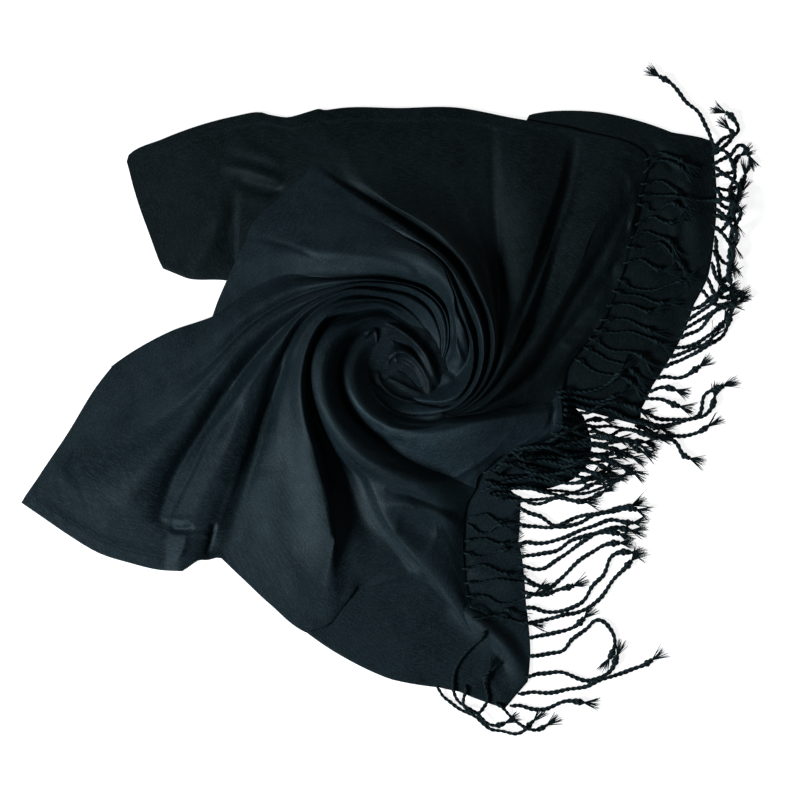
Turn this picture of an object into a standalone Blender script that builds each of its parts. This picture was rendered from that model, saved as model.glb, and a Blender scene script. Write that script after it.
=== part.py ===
"""A fringed stole, folded in layers, laid flat and swirled round its middle.

Metres, +Z up. The origin is the eye of the swirl, on the surface that the
cloth rests on. +X runs from the folded edges towards the fringed ends.
The cloth is seen from above: every fold is a ridge or a valley that runs from
the cloth's edge inwards and winds clockwise round the eye.
"""
import math

import bmesh
import bpy
from mathutils import Vector

# Driving sizes, in metres.
CLOTH_THICKNESS = 0.0022   # a wall of cloth, doubled where it is folded
SEAM_GAP = 0.00036         # between stretches that meet along a valley
RING_RADIUS = 0.090        # inside this the folds wind round the eye
EYE_RADIUS = 0.022         # the swirl's innermost turn
TASSEL_RADIUS = 0.0015     # a twisted tassel is 3 mm thick
STRIP_WIDTH = 0.0030       # narrow strip that the tassels grow from
ROOT_RADIUS = 0.0008       # where a tassel leaves its strip
TUFT_RADIUS = 0.0026       # the frayed end below a tassel's knot

# The tassels are set out on a plan grid: one step is 0.72 mm, x to the right
# and y downwards, and the eye of the swirl is at EYE_STEP.
PLAN_STEP = 0.00072
EYE_STEP = (405, 362)

MM = 0.001

# Radii, in mm, at which the course of a fold is given, and how far inside the
# cloth's edge the first of them has to lie.
COURSE_RADII = (170, 140, 115, 90, 80, 72, 65, 58, 52, 46, 40, 34, 28, 22)
EDGE_MARGIN = 4

# Course of each fold: the angle in degrees at the cloth's edge, then at each
# of COURSE_RADII. None is a radius that lies outside the edge.
N = None
COURSES = {
    # the nose flap, from its lower left edge to its right edge
    "flap_left":    (167.5, N, N, 152.5, 137.4, 131.5, 124, 113.5, 97, 68, 50, 37, 22, 4, -20),
    "flap_broad":   (150, N, N, 135, 119, 108, 95, 82, 68, 57, 45, 32, 16, -3, -30),
    "flap_crest":   (136, N, N, 121, 100, 84, 69, 62.5, 54, 47.5, 39, 22, 4, -17, -45),
    "eye_pit":      (131, N, N, 117, 97.5, 82, 68.2, 61.2, 52, 43, 5, -12, -28, -42, -65),
    "roll_inner":   (127, N, N, 114, 95, 80, 67.5, 60, 50, 38, -27, -42.5, -54, -66, -85),
    "groove_inner": (121, N, N, 108, 91, 77.5, 65, 56.5, 44, 13, -40, -51.5, -62, -80, -110),
    "roll_middle":  (116.5, N, N, 103.5, 87, 73.5, 61.5, 49.5, 20, -23, -46, -57, -69, -90, -118),
    "flap_right":   (112.8, N, 110.4, 100.6, 82.5, 67.5, 54.5, 35, -2, -34, -54, -76.5, -114, -154.5, -184.5),
    # the top panel and the fan to the right of it
    "top_seam":     (110.7, 110.4, 109, 99, 82.2, 67.2, 54.2, 34.7, -2.4, -34.6, -55, N, N, N, N),
    "roll_outer":   (104, 105, 103.5, 96, 69, 53.5, 40, 12, -17, -38, -55, N, N, N, N),
    "top_flat":     (80, 80, 76, 68, 50, 40, 28, 5, -21, -39.5, -55, N, N, N, N),
    "top_valley":   (71, 69, 64, 56.5, 42, 32.5, 22, 0.5, -24, -41, -55, N, N, N, N),
    "fan_crest_a":  (60, 54.5, 47.5, 38, 23, 12, 3, -10.5, -28, -43, -55, N, N, N, N),
    "fan_groove_a": (52.7, 44, 38, 28, 14, 7, -2, -17.6, -32, -45, -55, N, N, N, N),
    "fan_crest_b":  (38, 35.5, 28, 19, 5.5, -4, -14, -26, -37, -46.5, -55, N, N, N, N),
    "fan_groove_b": (25, 24.7, 17.5, 9, -6, -14.5, -22, -31, -39, -47.5, -55, N, N, N, N),
    "fan_crest_c":  (-4, N, N, N, -12, -18, -25, -33, -40, -48.3, -55, N, N, N, N),
    "tongue_upper": (-12, N, N, N, -21, -25.5, -30, -35, -41.5, -49, -56, -79, -116, -155.5, -185.5),
    # the tongue
    "tongue_crest": (-26, N, N, -27, -38, -46, -54, -57, -62, -76, -122, -146, -168, -190, -213),
    "tongue_lower": (-61, N, N, N, -71, -81, -91, -100, -134, -162, -178, -190, -200, -212, -230),
    # the lower fan and the panel below it
    "lower_crest":  (-69, N, N, N, -84, -109, -134, -178, -195.5, -207, -216, -229, -241, -256, -275),
    "lower_groove": (-75, N, -77, -83, -93, -113, -138.8, -182, -199, -209.7, -219.2, -233.1, -244.6,
                     -259.3, -280),
    "long_crest":   (-75.7, -78, -85.5, -95, -105, -119, -143.5, -187, -203, -212.4, -222.4, -237.2, -248.2,
                     -262.6, -285),
    "long_foot":    (-84, -86, -93, -101, -111, -126, -148.3, -192, -207, -215.1, -225.5, -241.3, -251.8,
                     -265.9, -290),
    "low_flat":     (-97, -95, -101, -108, -118, -131, -153.2, -196.5, -210.5, -217.8, -228.8, -245.4, -255.4,
                     -269.2, -295),
    "hollow":       (-109.2, -105, -108, -115.5, -128, -139, -158, -201, -214, -220.5, -232, -249.5, -259,
                     -272.5, -300),
    # the broad panel at the lower left
    "broad_crest":  (-121, -121.5, -128, -137, -160, -179, -199, -214.7, -224, -235, -249.5, -257.5, -268.4,
                     -286, -315),
    "broad_flat":   (-130, -131, -138, -148, -170, -189, -206.5, -220, -230, -239.5, -252.5, -264, -277,
                     -295, -323),
    "pleat_seam":   (-134.8, -139.8, -146.5, -156.5, -179.5, -198.5, -213, -225, -236, -243.5, -255, -269.5,
                     -285, -303, -330),
    # the fan at the left
    "pleat_crest":  (-137, -147, -154.5, -168, -188.6, -205.5, -218, -230.5, -241, -249.5, -267, -291, -307,
                     -330, -352),
    "pleat_groove": (-139.3, -154.5, -164, -177, -196.5, -210, -221.3, -234.3, -246, -259, -283, -300, -317,
                     -339, -361),
    "left_crest":   (-147, -163.5, -173, -187, -205, -213.5, -224.5, -237.5, -252.5, -275, -298, -312, -328,
                     -348, -370),
    "left_corner":  (-159.9, -169, -176.5, -190, -208.3, -217, -227, -239.2, -254.8, -278.8, -301, -315,
                     -330, -350, -372),
    "left_groove":  (-168, -174, -179.8, -193.2, -211.5, -220.5, -229.3, -240.8, -256.8, -282, -303.5,
                     -317.5, -332, -351.5, -374),
    "left_roll":    (-175.7, -181, -186.5, -199.5, -217, -224.8, -232.8, -243.8, -260, -287, -307, -321, -335,
                     -353.5, -377),
    "left_edge":    (-179, -185.5, -193, -207.5, -222.6, -228.5, -236, -246.5, -263, -292, -310, -323, -338,
                     -356, -380),
}

# Height in mm of each fold's top face: at the cloth's edge, a quarter and 0.6
# of the way from there to the ring, and then at radii of 90, 65, 46, 30, 22.
RING_STATIONS = (90, 65, 46, 30, 22)
EDGE_STATIONS = (0.0, 0.25, 0.6, 1.0)
HEIGHTS = {
    "flap_left":    (5.5, 6.5, 8, 13, 19, 13, 10, 9),
    "flap_broad":   (7, 10, 15, 22, 27, 15, 11, 9),
    "flap_crest":   (7, 10, 15, 23, 34, 26, 13, 9),
    "eye_pit":      (7, 10, 15, 23, 32, 16, 11, 9),
    "roll_inner":   (7, 10, 15, 23, 33, 29, 17, 10),
    "groove_inner": (7, 10, 14, 21, 26, 18, 12, 9),
    "roll_middle":  (7, 9, 14, 23, 33, 24, 16, 10),
    "flap_right":   (5.5, 6.5, 8, 13, 23, 17, 12, 9),
    "top_seam":     (2.2, 4.8, 6.5, 12, 22, 19, 19, 19),
    "roll_outer":   (2.2, 5.2, 10, 22, 31, 21, 21, 21),
    "top_flat":     (2.2, 5.5, 7.5, 13, 26, 20, 20, 20),
    "top_valley":   (2.2, 4.8, 5.6, 8, 20, 19, 19, 19),
    "fan_crest_a":  (5.2, 8, 12, 17, 28, 20, 20, 20),
    "fan_groove_a": (5.2, 5.4, 5.8, 8, 19, 18, 18, 18),
    "fan_crest_b":  (5.8, 9, 12, 17, 27, 19, 19, 19),
    "fan_groove_b": (5.2, 5.4, 5.8, 8, 17, 17, 17, 17),
    "fan_crest_c":  (6, 8, 10, 14, 24, 18, 18, 18),
    "tongue_upper": (5.6, 5.8, 6.5, 8, 14, 16, 11, 9),
    "tongue_crest": (12, 13, 15, 19, 28, 30, 16, 10),
    "tongue_lower": (5.6, 5.8, 6.5, 9, 13, 11, 9, 8),
    "lower_crest":  (8, 12, 17, 23, 31, 27, 16, 10),
    "lower_groove": (5.2, 6, 9, 17, 30, 25.5, 15, 10),
    "long_crest":   (5.6, 9, 13, 20, 27, 22, 14, 10),
    "long_foot":    (2.2, 4.8, 6, 12, 24, 20, 13, 10),
    "low_flat":     (2.2, 5, 5.6, 8, 21, 17, 12, 9),
    "hollow":       (2.2, 5, 5.2, 7, 16, 13, 10, 9),
    "broad_crest":  (2.2, 5.6, 11, 20, 31, 26, 15, 10),
    "broad_flat":   (2.2, 5.2, 9, 16, 26, 21, 13, 9),
    "pleat_seam":   (2.2, 4.8, 6, 11, 20, 17, 12, 9),
    "pleat_crest":  (4.5, 8, 12, 19, 29, 24, 15, 10),
    "pleat_groove": (2.2, 4.8, 6, 12, 21, 18, 12, 9),
    "left_crest":   (2.2, 5.6, 10, 19, 28, 23, 14, 10),
    "left_corner":  (2.2, 5.2, 9, 18, 27, 22, 13, 9.5),
    "left_groove":  (2.2, 4.8, 6, 14, 23, 18, 12, 9),
    "left_roll":    (2.2, 5.2, 9, 18, 26, 21, 13, 9),
    "left_edge":    (2.2, 4.6, 6.5, 13, 19, 13, 10, 9),
}

# Each stretch of cloth that winds into the eye: its folds in clockwise order,
# each with its kind (ridge, valley or flat) and the number of strips to the next.
RIDGE, VALLEY, FLAT = "ridge", "valley", "flat"
ARMS = {
    "nose_flap": (("flap_left", VALLEY, 3), ("flap_broad", FLAT, 3), ("flap_crest", RIDGE, 1),
                  ("eye_pit", VALLEY, 2), ("roll_inner", RIDGE, 2), ("groove_inner", VALLEY, 2),
                  ("roll_middle", RIDGE, 2), ("flap_right", VALLEY, 0)),
    "top_panel": (("top_seam", VALLEY, 2), ("roll_outer", RIDGE, 3), ("top_flat", FLAT, 2),
                  ("top_valley", VALLEY, 0)),
    "right_fan": (("top_valley", VALLEY, 3), ("fan_crest_a", RIDGE, 2), ("fan_groove_a", VALLEY, 3),
                  ("fan_crest_b", RIDGE, 2), ("fan_groove_b", VALLEY, 3), ("fan_crest_c", RIDGE, 2),
                  ("tongue_upper", VALLEY, 0)),
    "tongue": (("tongue_upper", VALLEY, 4), ("tongue_crest", RIDGE, 4), ("tongue_lower", VALLEY, 0)),
    "lower_fan": (("tongue_lower", VALLEY, 3), ("lower_crest", RIDGE, 1), ("lower_groove", VALLEY, 1),
                  ("long_crest", RIDGE, 1), ("long_foot", FLAT, 1), ("low_flat", FLAT, 1),
                  ("hollow", VALLEY, 0)),
    "front_panel": (("hollow", VALLEY, 3), ("broad_crest", RIDGE, 2), ("broad_flat", FLAT, 2),
                    ("pleat_seam", VALLEY, 0)),
    "left_fan": (("pleat_seam", VALLEY, 2), ("pleat_crest", RIDGE, 2), ("pleat_groove", VALLEY, 2),
                 ("left_crest", RIDGE, 2), ("left_corner", FLAT, 2), ("left_groove", VALLEY, 2),
                 ("left_roll", RIDGE, 1), ("left_edge", VALLEY, 0)),
}

# Outline of each stretch: angle in degrees and distance from the eye in mm.
OUTLINES = {
    "nose_flap": ((167.5, 142), (155, 140.5), (143.8, 142.7), (137, 147.7), (129, 148), (120, 151),
                  (112.8, 158)),
    "top_panel": ((111, 193), (104.4, 188), (90.8, 182.2), (77.7, 186.5), (72.6, 188), (71, 189)),
    "right_fan": ((71, 189), (67, 190.7), (52.7, 208), (40.8, 228), (34.6, 205.5), (27.5, 182.6),
                  (19.9, 163), (10.7, 143), (3.9, 126), (-4, 115.6), (-12, 114)),
    "tongue": ((-12, 114), (-18, 118), (-23, 122), (-30, 116), (-38, 102), (-46, 96), (-57, 97), (-61, 104)),
    "lower_fan": ((-61, 104), (-66, 110), (-69, 118), (-71.8, 138.7), (-75, 162.4), (-75.7, 205), (-77, 222),
                  (-80.6, 240), (-84, 235), (-92.7, 228), (-100.5, 218), (-109.2, 208)),
    "front_panel": ((-109.2, 208), (-119.3, 199), (-127.8, 194), (-134.8, 195)),
    "left_fan": ((-134.8, 196), (-136.2, 200), (-138, 216), (-139.8, 231), (-144, 245), (-148, 259),
                 (-152.7, 271.5), (-159.9, 293.6), (-162.8, 275), (-168.5, 246), (-175.7, 221.7), (-179, 211)),
}

# The stretches whose folds slide under the tongue end at this radius, in mm.
TUCKED_RADIUS = 49
TUCKED = ("top_panel", "right_fan")

# Rows of points: fractions of the way from the edge to the ring, then radii in mm.
EDGE_ROWS = (0, 0.1, 0.25, 0.42, 0.6, 0.8)
RING_ROWS = (90, 85, 80, 76, 72, 69.5, 67, 64.5, 62, 59.5, 57, 54.5, 52, 49, 46, 43, 39.5, 36, 32, 27, 22)

# Cloths that lie under the swirl: angle, outer and inner distance in mm.
UNDER_CLOTHS = {
    "back_panel": ((111.4, 193.5, 112), (113.1, 192.6, 112), (118.4, 201.3, 112), (120.2, 207.5, 112),
                   (124.8, 214.7, 112), (131, 225, 112), (137.4, 236.4, 112), (143.5, 248, 112),
                   (145.7, 238.9, 112), (148.8, 224.9, 112), (153.5, 205, 112), (158.5, 187, 112)),
    "under_end_upper": ((63.2, 199, 170), (59.9, 208, 176), (51.9, 227.7, 184),
                        (45.6, 241.8, 196), (40.6, 253, 200), (37.2, 266.7, 190), (35.6, 272, 184),
                        (32.5, 263.8, 174), (26.8, 250.8, 158), (21.6, 238.5, 144), (15.5, 225.7, 128),
                        (11.2, 211.4, 119), (6, 201.2, 106), (0.4, 189.4, 100), (-5.3, 178.6, 98),
                        (-11.5, 172.7, 98), (-15, 175, 100)),
    "under_end_lower": ((-51.2, 132, 112), (-57.6, 151.8, 100), (-59.4, 165.6, 97), (-63.2, 191.9, 97),
                        (-66.5, 226, 98), (-68.9, 245.5, 104), (-71.7, 252.5, 122), (-73.9, 259, 150),
                        (-75.6, 256, 186), (-77.6, 250, 208)),
}
UNDER_ROWS = 6
RIDGE_AT_EDGE = 0.25       # share of a ridge's height that it keeps at the cloth's edge
# Soft ridges on those cloths: from and to (x, y), height and half width, in mm.
UNDER_RIDGES = {
    "back_panel": (((-122, 145), (-76, 133), 3.6, 8), ((-121, 122), (-128, 72), 2.4, 7),
                   ((-172, 74), (-137, 100), 1.8, 8)),
    "under_end_upper": (((200, 146), (212, 66), 2.2, 9), ((172, 26), (196, 30), 1.8, 6)),
    "under_end_lower": (((62, -198), (90, -229), 5.0, 7), ((46, -150), (84, -156), 1.6, 8)),
}

# Edge of the hidden layers: angle in degrees and distance in mm.
HIDDEN_EDGE = ((0, 92), (10, 104), (20, 124), (35, 152), (45, 165), (60, 158), (75, 152), (90, 146),
               (104, 136), (112, 109), (135, 108), (158, 108), (168, 124), (181, 158), (191, 184),
               (200, 214), (210, 198), (222, 160), (232, 160), (250, 172), (262, 184), (275, 178),
               (283, 146), (290, 100), (300, 90), (320, 88), (345, 88))
HIDDEN_HEIGHT = 1.7        # mm, the hidden layers near their edge
HIDDEN_RINGS = ((1.0, 0.0), (1.0, 0.55), (0.985, 0.85), (0.96, 1.0))
HIDDEN_CORE = ((110, 1.0), (80, 1.9), (60, 2.8), (35, 3.2))
HIDDEN_SHOULDER = 0.93     # the core's rings stay inside this share of the edge
HIDDEN_ROUNDING = 0.2      # and are drawn in by this share towards the centre

# The eye's tuft: a small fold that stands in the innermost turn.
TUFT_ROWS = ((20.6, 7.4), (16, 8.6), (10, 11.5), (4, 13))
TUFT_SIDES = 16
TUFT_LEAN = (3.0, -5.0)    # mm, how far its top leans
TUFT_WALL = 1.6            # mm

# Fringe: for each end, the edge that the strip follows, then a row for each
# tassel: level in mm at its middle, and its points on the plan grid.
FRINGE_EDGES = {
    "fringe_upper_outer": ((716, 145), (717.5, 165), (719, 190), (719, 205), (716, 240), (711.5, 278),
                           (703, 298)),
    "fringe_right": ((694, 309), (685.5, 334), (670.5, 361), (654.5, 386), (642.5, 410), (642.5, 426)),
    "fringe_upper_inner": ((649, 164), (643.5, 201), (633.5, 246), (621.5, 286), (603.5, 326), (583, 352)),
    "fringe_tongue": ((566, 394), (568, 412), (563, 430), (549, 443)),
    "fringe_tongue_lower": ((524, 446), (508, 462), (494, 476), (486, 490)),
    "fringe_lower_outer": ((523, 506), (521, 540), (525, 560), (528, 600), (533, 650), (531, 681), (518, 698),
                           (507, 711)),
    "fringe_lower_inner": ((476, 512), (469.5, 545), (467.5, 578), (471, 598), (476, 612)),
    "fringe_bottom": ((434, 690), (446, 693)),
}
TASSELS = {
    "fringe_upper_outer": (
        (1.8, (713, 144), (701, 118), (689, 104), (674, 89), (652, 71)),
        (5.0, (716, 152), (727, 146), (734, 134), (724, 121)),
        (1.8, (717, 163), (731, 157), (743, 153), (752, 166)),
        (1.8, (718, 176), (733, 172), (741, 168), (744, 176)),
        (5.2, (719, 189), (731, 190), (742, 194), (735, 205)),
        (1.8, (719, 202), (728, 206), (739, 216), (732, 226)),
        (1.8, (718, 216), (726, 222), (729, 238), (738, 246)),
        (1.8, (717, 229), (722, 238), (722, 252), (731, 262)),
        (1.8, (716, 242), (716, 256), (720, 270), (735, 272)),
        (1.8, (715, 256), (720, 270), (722, 283), (734, 284)),
        (1.8, (713, 268), (717, 279), (719, 290), (731, 293)),
    ),
    "fringe_right": (
        (1.8, (694, 310), (709, 309), (724, 308), (742, 301)),
        (1.8, (688, 326), (702, 322), (716, 318), (733, 313)),
        (1.8, (683, 339), (697, 336), (712, 332), (730, 324)),
        (1.8, (676, 351), (690, 350), (705, 346), (722, 338)),
        (1.8, (668, 364), (680, 362), (692, 356), (706, 348)),
        (1.8, (660, 378), (676, 378), (690, 375), (700, 364)),
        (1.8, (653, 390), (668, 388), (684, 389), (699, 396)),
        (1.8, (648, 400), (664, 402), (682, 404), (690, 411)),
        (1.8, (643, 411), (668, 418), (698, 416), (711, 394), (733, 384)),
        (4.8, (643, 424), (662, 428), (682, 430), (700, 428), (716, 419)),
    ),
    "fringe_upper_inner": (
        (6.4, (650, 165), (660, 160), (672, 164), (684, 175)),
        (6.4, (646, 184), (660, 183), (674, 190), (688, 204)),
        (6.4, (644, 203), (662, 200), (680, 202), (698, 199)),
        (6.4, (640, 222), (656, 217), (674, 220), (690, 226)),
        (6.4, (634, 242), (650, 233), (668, 240), (682, 256)),
        (6.4, (629, 262), (642, 258), (656, 262), (668, 272)),
        (6.4, (623, 282), (640, 280), (658, 286), (676, 292)),
        (6.4, (615, 300), (632, 300), (648, 304), (662, 308)),
        (6.4, (606, 320), (624, 320), (642, 326), (658, 330)),
        (6.4, (597, 337), (614, 341), (632, 345), (648, 352)),
        (6.4, (588, 350), (604, 358), (622, 363), (638, 374)),
    ),
    "fringe_tongue": (
        (10, (567, 396), (584, 397), (600, 396), (616, 388), (626, 380)),
        (7.6, (568, 408), (588, 409), (612, 410), (630, 404)),
        (7.6, (567, 418), (590, 424), (612, 424), (632, 418), (650, 436)),
        (7.6, (564, 428), (586, 438), (608, 436), (628, 440), (640, 452)),
        (7.6, (556, 438), (576, 449), (600, 450), (618, 458), (634, 466)),
    ),
    "fringe_tongue_lower": (
        (5.4, (520, 450), (540, 456), (566, 458), (592, 466)),
        (5.4, (508, 463), (530, 466), (558, 470), (584, 478)),
        (5.4, (496, 475), (520, 478), (548, 484), (576, 488)),
        (5.4, (487, 489), (508, 493), (536, 497), (560, 500)),
    ),
    "fringe_lower_outer": (
        (1.8, (523, 508), (546, 512), (580, 506), (612, 498), (640, 499)),
        (1.8, (522, 524), (550, 527), (584, 515), (612, 510), (640, 512)),
        (1.8, (522, 545), (548, 542), (578, 531), (608, 521), (642, 524)),
        (1.8, (526, 562), (552, 556), (580, 546), (610, 536), (644, 538)),
        (1.8, (527, 577), (548, 574), (568, 566), (584, 556)),
        (1.8, (528, 592), (552, 590), (574, 581), (592, 568), (606, 551)),
        (1.8, (529, 608), (556, 606), (584, 597), (604, 580), (622, 556)),
        (1.8, (531, 624), (560, 620), (590, 609), (612, 590), (640, 562)),
        (1.8, (533, 641), (552, 638), (570, 630), (590, 620)),
        (1.8, (534, 660), (560, 655), (574, 640), (590, 630), (604, 640), (604, 662)),
        (1.8, (533, 680), (560, 676), (590, 680), (612, 668), (632, 650)),
        (1.8, (524, 694), (552, 694), (584, 692), (620, 682), (655, 664)),
        (1.8, (510, 710), (536, 711), (566, 704), (590, 700)),
    ),
    "fringe_lower_inner": (
        (5.0, (475, 516), (488, 512), (500, 514), (514, 520)),
        (5.0, (471, 534), (486, 532), (500, 535), (513, 538)),
        (5.0, (469, 551), (484, 553), (498, 549), (514, 552)),
        (5.0, (468, 568), (484, 569), (500, 572), (515, 575)),
        (5.0, (470, 586), (486, 584), (500, 588), (517, 593)),
        (5.0, (474, 602), (490, 603), (506, 608), (520, 612)),
    ),
    "fringe_bottom": (
        (1.8, (440, 691), (450, 706), (476, 724), (506, 735), (530, 730), (548, 716)),
    ),
}
TASSEL_SIDES = 3
TASSEL_PIECE = 0.0125      # length of the pieces that a tassel is made of
KNOT_FACTOR = 1.25         # a knot is this much thicker than its tassel
ROOT_INSET = 0.45          # a root stays this share of a strip piece from its ends, at most
TASSEL_FLOOR = 0.0004      # how far the tassels stay above the floor
STRIP_BOTTOM = 0.0003
STRIP_TOP = 0.0022
# The fringes that lie on another cloth: how high above the floor their strip starts.
RAISED_STRIPS = {"fringe_upper_inner": 0.0048, "fringe_lower_inner": 0.0040, "fringe_tongue": 0.0062,
                 "fringe_tongue_lower": 0.0038}

CLOTH_COLOR = (0.012, 0.019, 0.023)
FRINGE_COLOR = (0.009, 0.014, 0.017)
COLLECTION = "folded_stole"


def clear_scene():
    for scene_object in list(bpy.data.objects):
        bpy.data.objects.remove(scene_object, do_unlink=True)


def make_material(name, color, roughness):
    material = bpy.data.materials.new(name)
    material.use_nodes = True
    shader = material.node_tree.nodes["Principled BSDF"]
    shader.inputs["Base Color"].default_value = (*color, 1.0)
    shader.inputs["Roughness"].default_value = roughness
    shader.inputs["Metallic"].default_value = 0.0
    return material


def smooth_value(stations, values, place):
    """Value at a place between stations, on a curve that never overshoots them."""
    pairs = sorted(zip(stations, values))
    xs = [pair[0] for pair in pairs]
    ys = [pair[1] for pair in pairs]
    if place <= xs[0]:
        return ys[0]
    if place >= xs[-1]:
        return ys[-1]
    slopes = [(ys[i + 1] - ys[i]) / (xs[i + 1] - xs[i]) for i in range(len(xs) - 1)]
    tangents = [slopes[0]]
    for before, after in zip(slopes, slopes[1:]):
        tangents.append(0.0 if before * after <= 0 else 2 * before * after / (before + after))
    tangents.append(slopes[-1])
    index = max(i for i in range(len(slopes)) if xs[i] <= place)
    width = xs[index + 1] - xs[index]
    t = (place - xs[index]) / width
    return (ys[index] * (1 + 2 * t) * (1 - t) ** 2 + ys[index + 1] * t * t * (3 - 2 * t)
            + width * tangents[index] * t * (1 - t) ** 2 - width * tangents[index + 1] * t * t * (1 - t))


def outline_radius(outline, degrees):
    """Distance in mm from the eye to a stretch's edge, straight between its points."""
    points = sorted(outline)
    if degrees <= points[0][0]:
        return points[0][1]
    for (low, near), (high, far) in zip(points, points[1:]):
        if degrees <= high:
            return near + (far - near) * (degrees - low) / (high - low)
    return points[-1][1]


def polar(radius, degrees, height):
    """A point from its distance and height in mm and its angle."""
    angle = math.radians(degrees)
    return Vector((radius * math.cos(angle), radius * math.sin(angle), height)) * MM


class Fold:
    """One ridge or valley: its angle and height at every row of points."""

    def __init__(self, name, outline):
        course = COURSES[name]
        self.edge_degrees = course[0]
        self.edge_radius = outline_radius(outline, self.edge_degrees)
        known = [(r, a) for r, a in zip(COURSE_RADII, course[1:]) if a is not None]
        known = [(r, a) for r, a in known if r < self.edge_radius - EDGE_MARGIN]
        known.append((self.edge_radius, self.edge_degrees))
        self.radii = [r for r, _ in known]
        self.angles = [a for _, a in known]
        self.heights = HEIGHTS[name]

    def at_fraction(self, fraction):
        """Angle and height a fraction of the way from the edge to the ring."""
        ring = RING_RADIUS / MM
        radius = self.edge_radius + (ring - self.edge_radius) * fraction
        return (smooth_value(self.radii, self.angles, radius),
                smooth_value(EDGE_STATIONS, self.heights[:4], fraction))

    def at_radius(self, radius):
        return (smooth_value(self.radii, self.angles, radius),
                smooth_value(RING_STATIONS, self.heights[3:], radius))


def fold_share(kind, next_kind, share):
    """How far the height has gone from one fold to the next: ridges are round, valleys sharp."""
    if kind == VALLEY and next_kind == RIDGE:
        return math.sin(share * math.pi / 2)
    if kind == RIDGE and next_kind == VALLEY:
        return 1 - math.cos(share * math.pi / 2)
    return share * share * (3 - 2 * share)


def arm_rows(name):
    """Rows of points over one stretch, from its outer edge to the eye."""
    outline = OUTLINES[name]
    spec = ARMS[name]
    folds = [Fold(fold_name, outline) for fold_name, _, _ in spec]
    columns = []
    for index, (_, kind, strips) in enumerate(spec[:-1]):
        for strip in range(strips):
            columns.append((index, strip / strips, kind, spec[index + 1][1]))
    columns.append((len(spec) - 2, 1.0, spec[-2][1], spec[-1][1]))
    rows = []
    for fraction in EDGE_ROWS:
        row = []
        for index, share, kind, next_kind in columns:
            first, second = folds[index], folds[index + 1]
            edge_degrees = first.edge_degrees + (second.edge_degrees - first.edge_degrees) * share
            edge = outline_radius(outline, edge_degrees)
            angle_a, height_a = first.at_fraction(fraction)
            angle_b, height_b = second.at_fraction(fraction)
            radius = edge + (RING_RADIUS / MM - edge) * fraction
            height = height_a + (height_b - height_a) * fold_share(kind, next_kind, share)
            row.append(polar(radius, angle_a + (angle_b - angle_a) * share, height))
        rows.append(row)
    last = TUCKED_RADIUS if name in TUCKED else EYE_RADIUS / MM
    for radius in RING_ROWS:
        if radius < last:
            break
        row = []
        for index, share, kind, next_kind in columns:
            angle_a, height_a = folds[index].at_radius(radius)
            angle_b, height_b = folds[index + 1].at_radius(radius)
            height = height_a + (height_b - height_a) * fold_share(kind, next_kind, share)
            row.append(polar(radius, angle_a + (angle_b - angle_a) * share, height))
        rows.append(row)
    part_seams(rows)
    return rows


def part_seams(rows):
    """Move the two long edges inwards, square to their run, by half the seam gap."""
    for side, inner in ((0, 1), (-1, -2)):
        edge = [row[side].copy() for row in rows]
        across = []
        for index in range(len(edge)):
            along = (edge[min(index + 1, len(edge) - 1)] - edge[max(index - 1, 0)]).xy.normalized()
            across.append(Vector((-along.y, along.x)))
        lean = sum(normal.dot((row[inner] - point).xy) for normal, row, point in zip(across, rows, edge))
        shift = SEAM_GAP / 2 if lean > 0 else -SEAM_GAP / 2
        for normal, row, point in zip(across, rows, edge):
            row[side] = point + Vector((normal.x * shift, normal.y * shift, 0))


def wall_mesh(name, rows, thickness):
    """A cloth of even thickness below a sheet of points."""
    shell = bmesh.new()
    tops = [[shell.verts.new(point) for point in row] for row in rows]
    drop = Vector((0, 0, thickness))
    bottoms = [[shell.verts.new(point - drop) for point in row] for row in rows]
    last_row, last_column = len(rows) - 1, len(rows[0]) - 1
    for i in range(last_row):
        for j in range(last_column):
            shell.faces.new((tops[i][j], tops[i][j + 1], tops[i + 1][j + 1], tops[i + 1][j]))
            shell.faces.new((bottoms[i][j], bottoms[i + 1][j], bottoms[i + 1][j + 1], bottoms[i][j + 1]))
    for i in range(last_row):
        shell.faces.new((tops[i][0], tops[i + 1][0], bottoms[i + 1][0], bottoms[i][0]))
        shell.faces.new((tops[i][last_column], bottoms[i][last_column], bottoms[i + 1][last_column],
                         tops[i + 1][last_column]))
    for j in range(last_column):
        shell.faces.new((tops[0][j], bottoms[0][j], bottoms[0][j + 1], tops[0][j + 1]))
        shell.faces.new((tops[last_row][j], tops[last_row][j + 1], bottoms[last_row][j + 1],
                         bottoms[last_row][j]))
    bmesh.ops.triangulate(shell, faces=shell.faces, quad_method="FIXED")
    bmesh.ops.recalc_face_normals(shell, faces=shell.faces)
    mesh = bpy.data.meshes.new(name)
    shell.to_mesh(mesh)
    shell.free()
    return mesh


def add_node(name, mesh, material, collection):
    node = bpy.data.objects.new(name, mesh)
    collection.objects.link(node)
    mesh.materials.clear()
    mesh.materials.append(material)
    mesh.shade_smooth()
    return node


def distance_to_run(point, start, end):
    run = end - start
    share = max(0.0, min(1.0, (point - start).dot(run) / run.length_squared))
    return (point - start - run * share).length, share


def under_rows(name):
    """Rows of points over a cloth that lies below the swirl."""
    ridges = [(Vector(start), Vector(end), height, width) for start, end, height, width in UNDER_RIDGES[name]]
    rows = []
    for step in range(UNDER_ROWS + 1):
        share = step / UNDER_ROWS
        row = []
        for degrees, outer, inner in UNDER_CLOTHS[name]:
            radius = outer + (inner - outer) * share
            point = polar(radius, degrees, CLOTH_THICKNESS / MM)
            for start, end, height, width in ridges:
                away, _ = distance_to_run(point.xy / MM, start, end)
                fade = min(1.0, 4 * share * (1 - share) + RIDGE_AT_EDGE)
                point.z += height * fade * math.exp(-(away / width) ** 2) * MM
            row.append(point)
        rows.append(row)
    return rows


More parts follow.
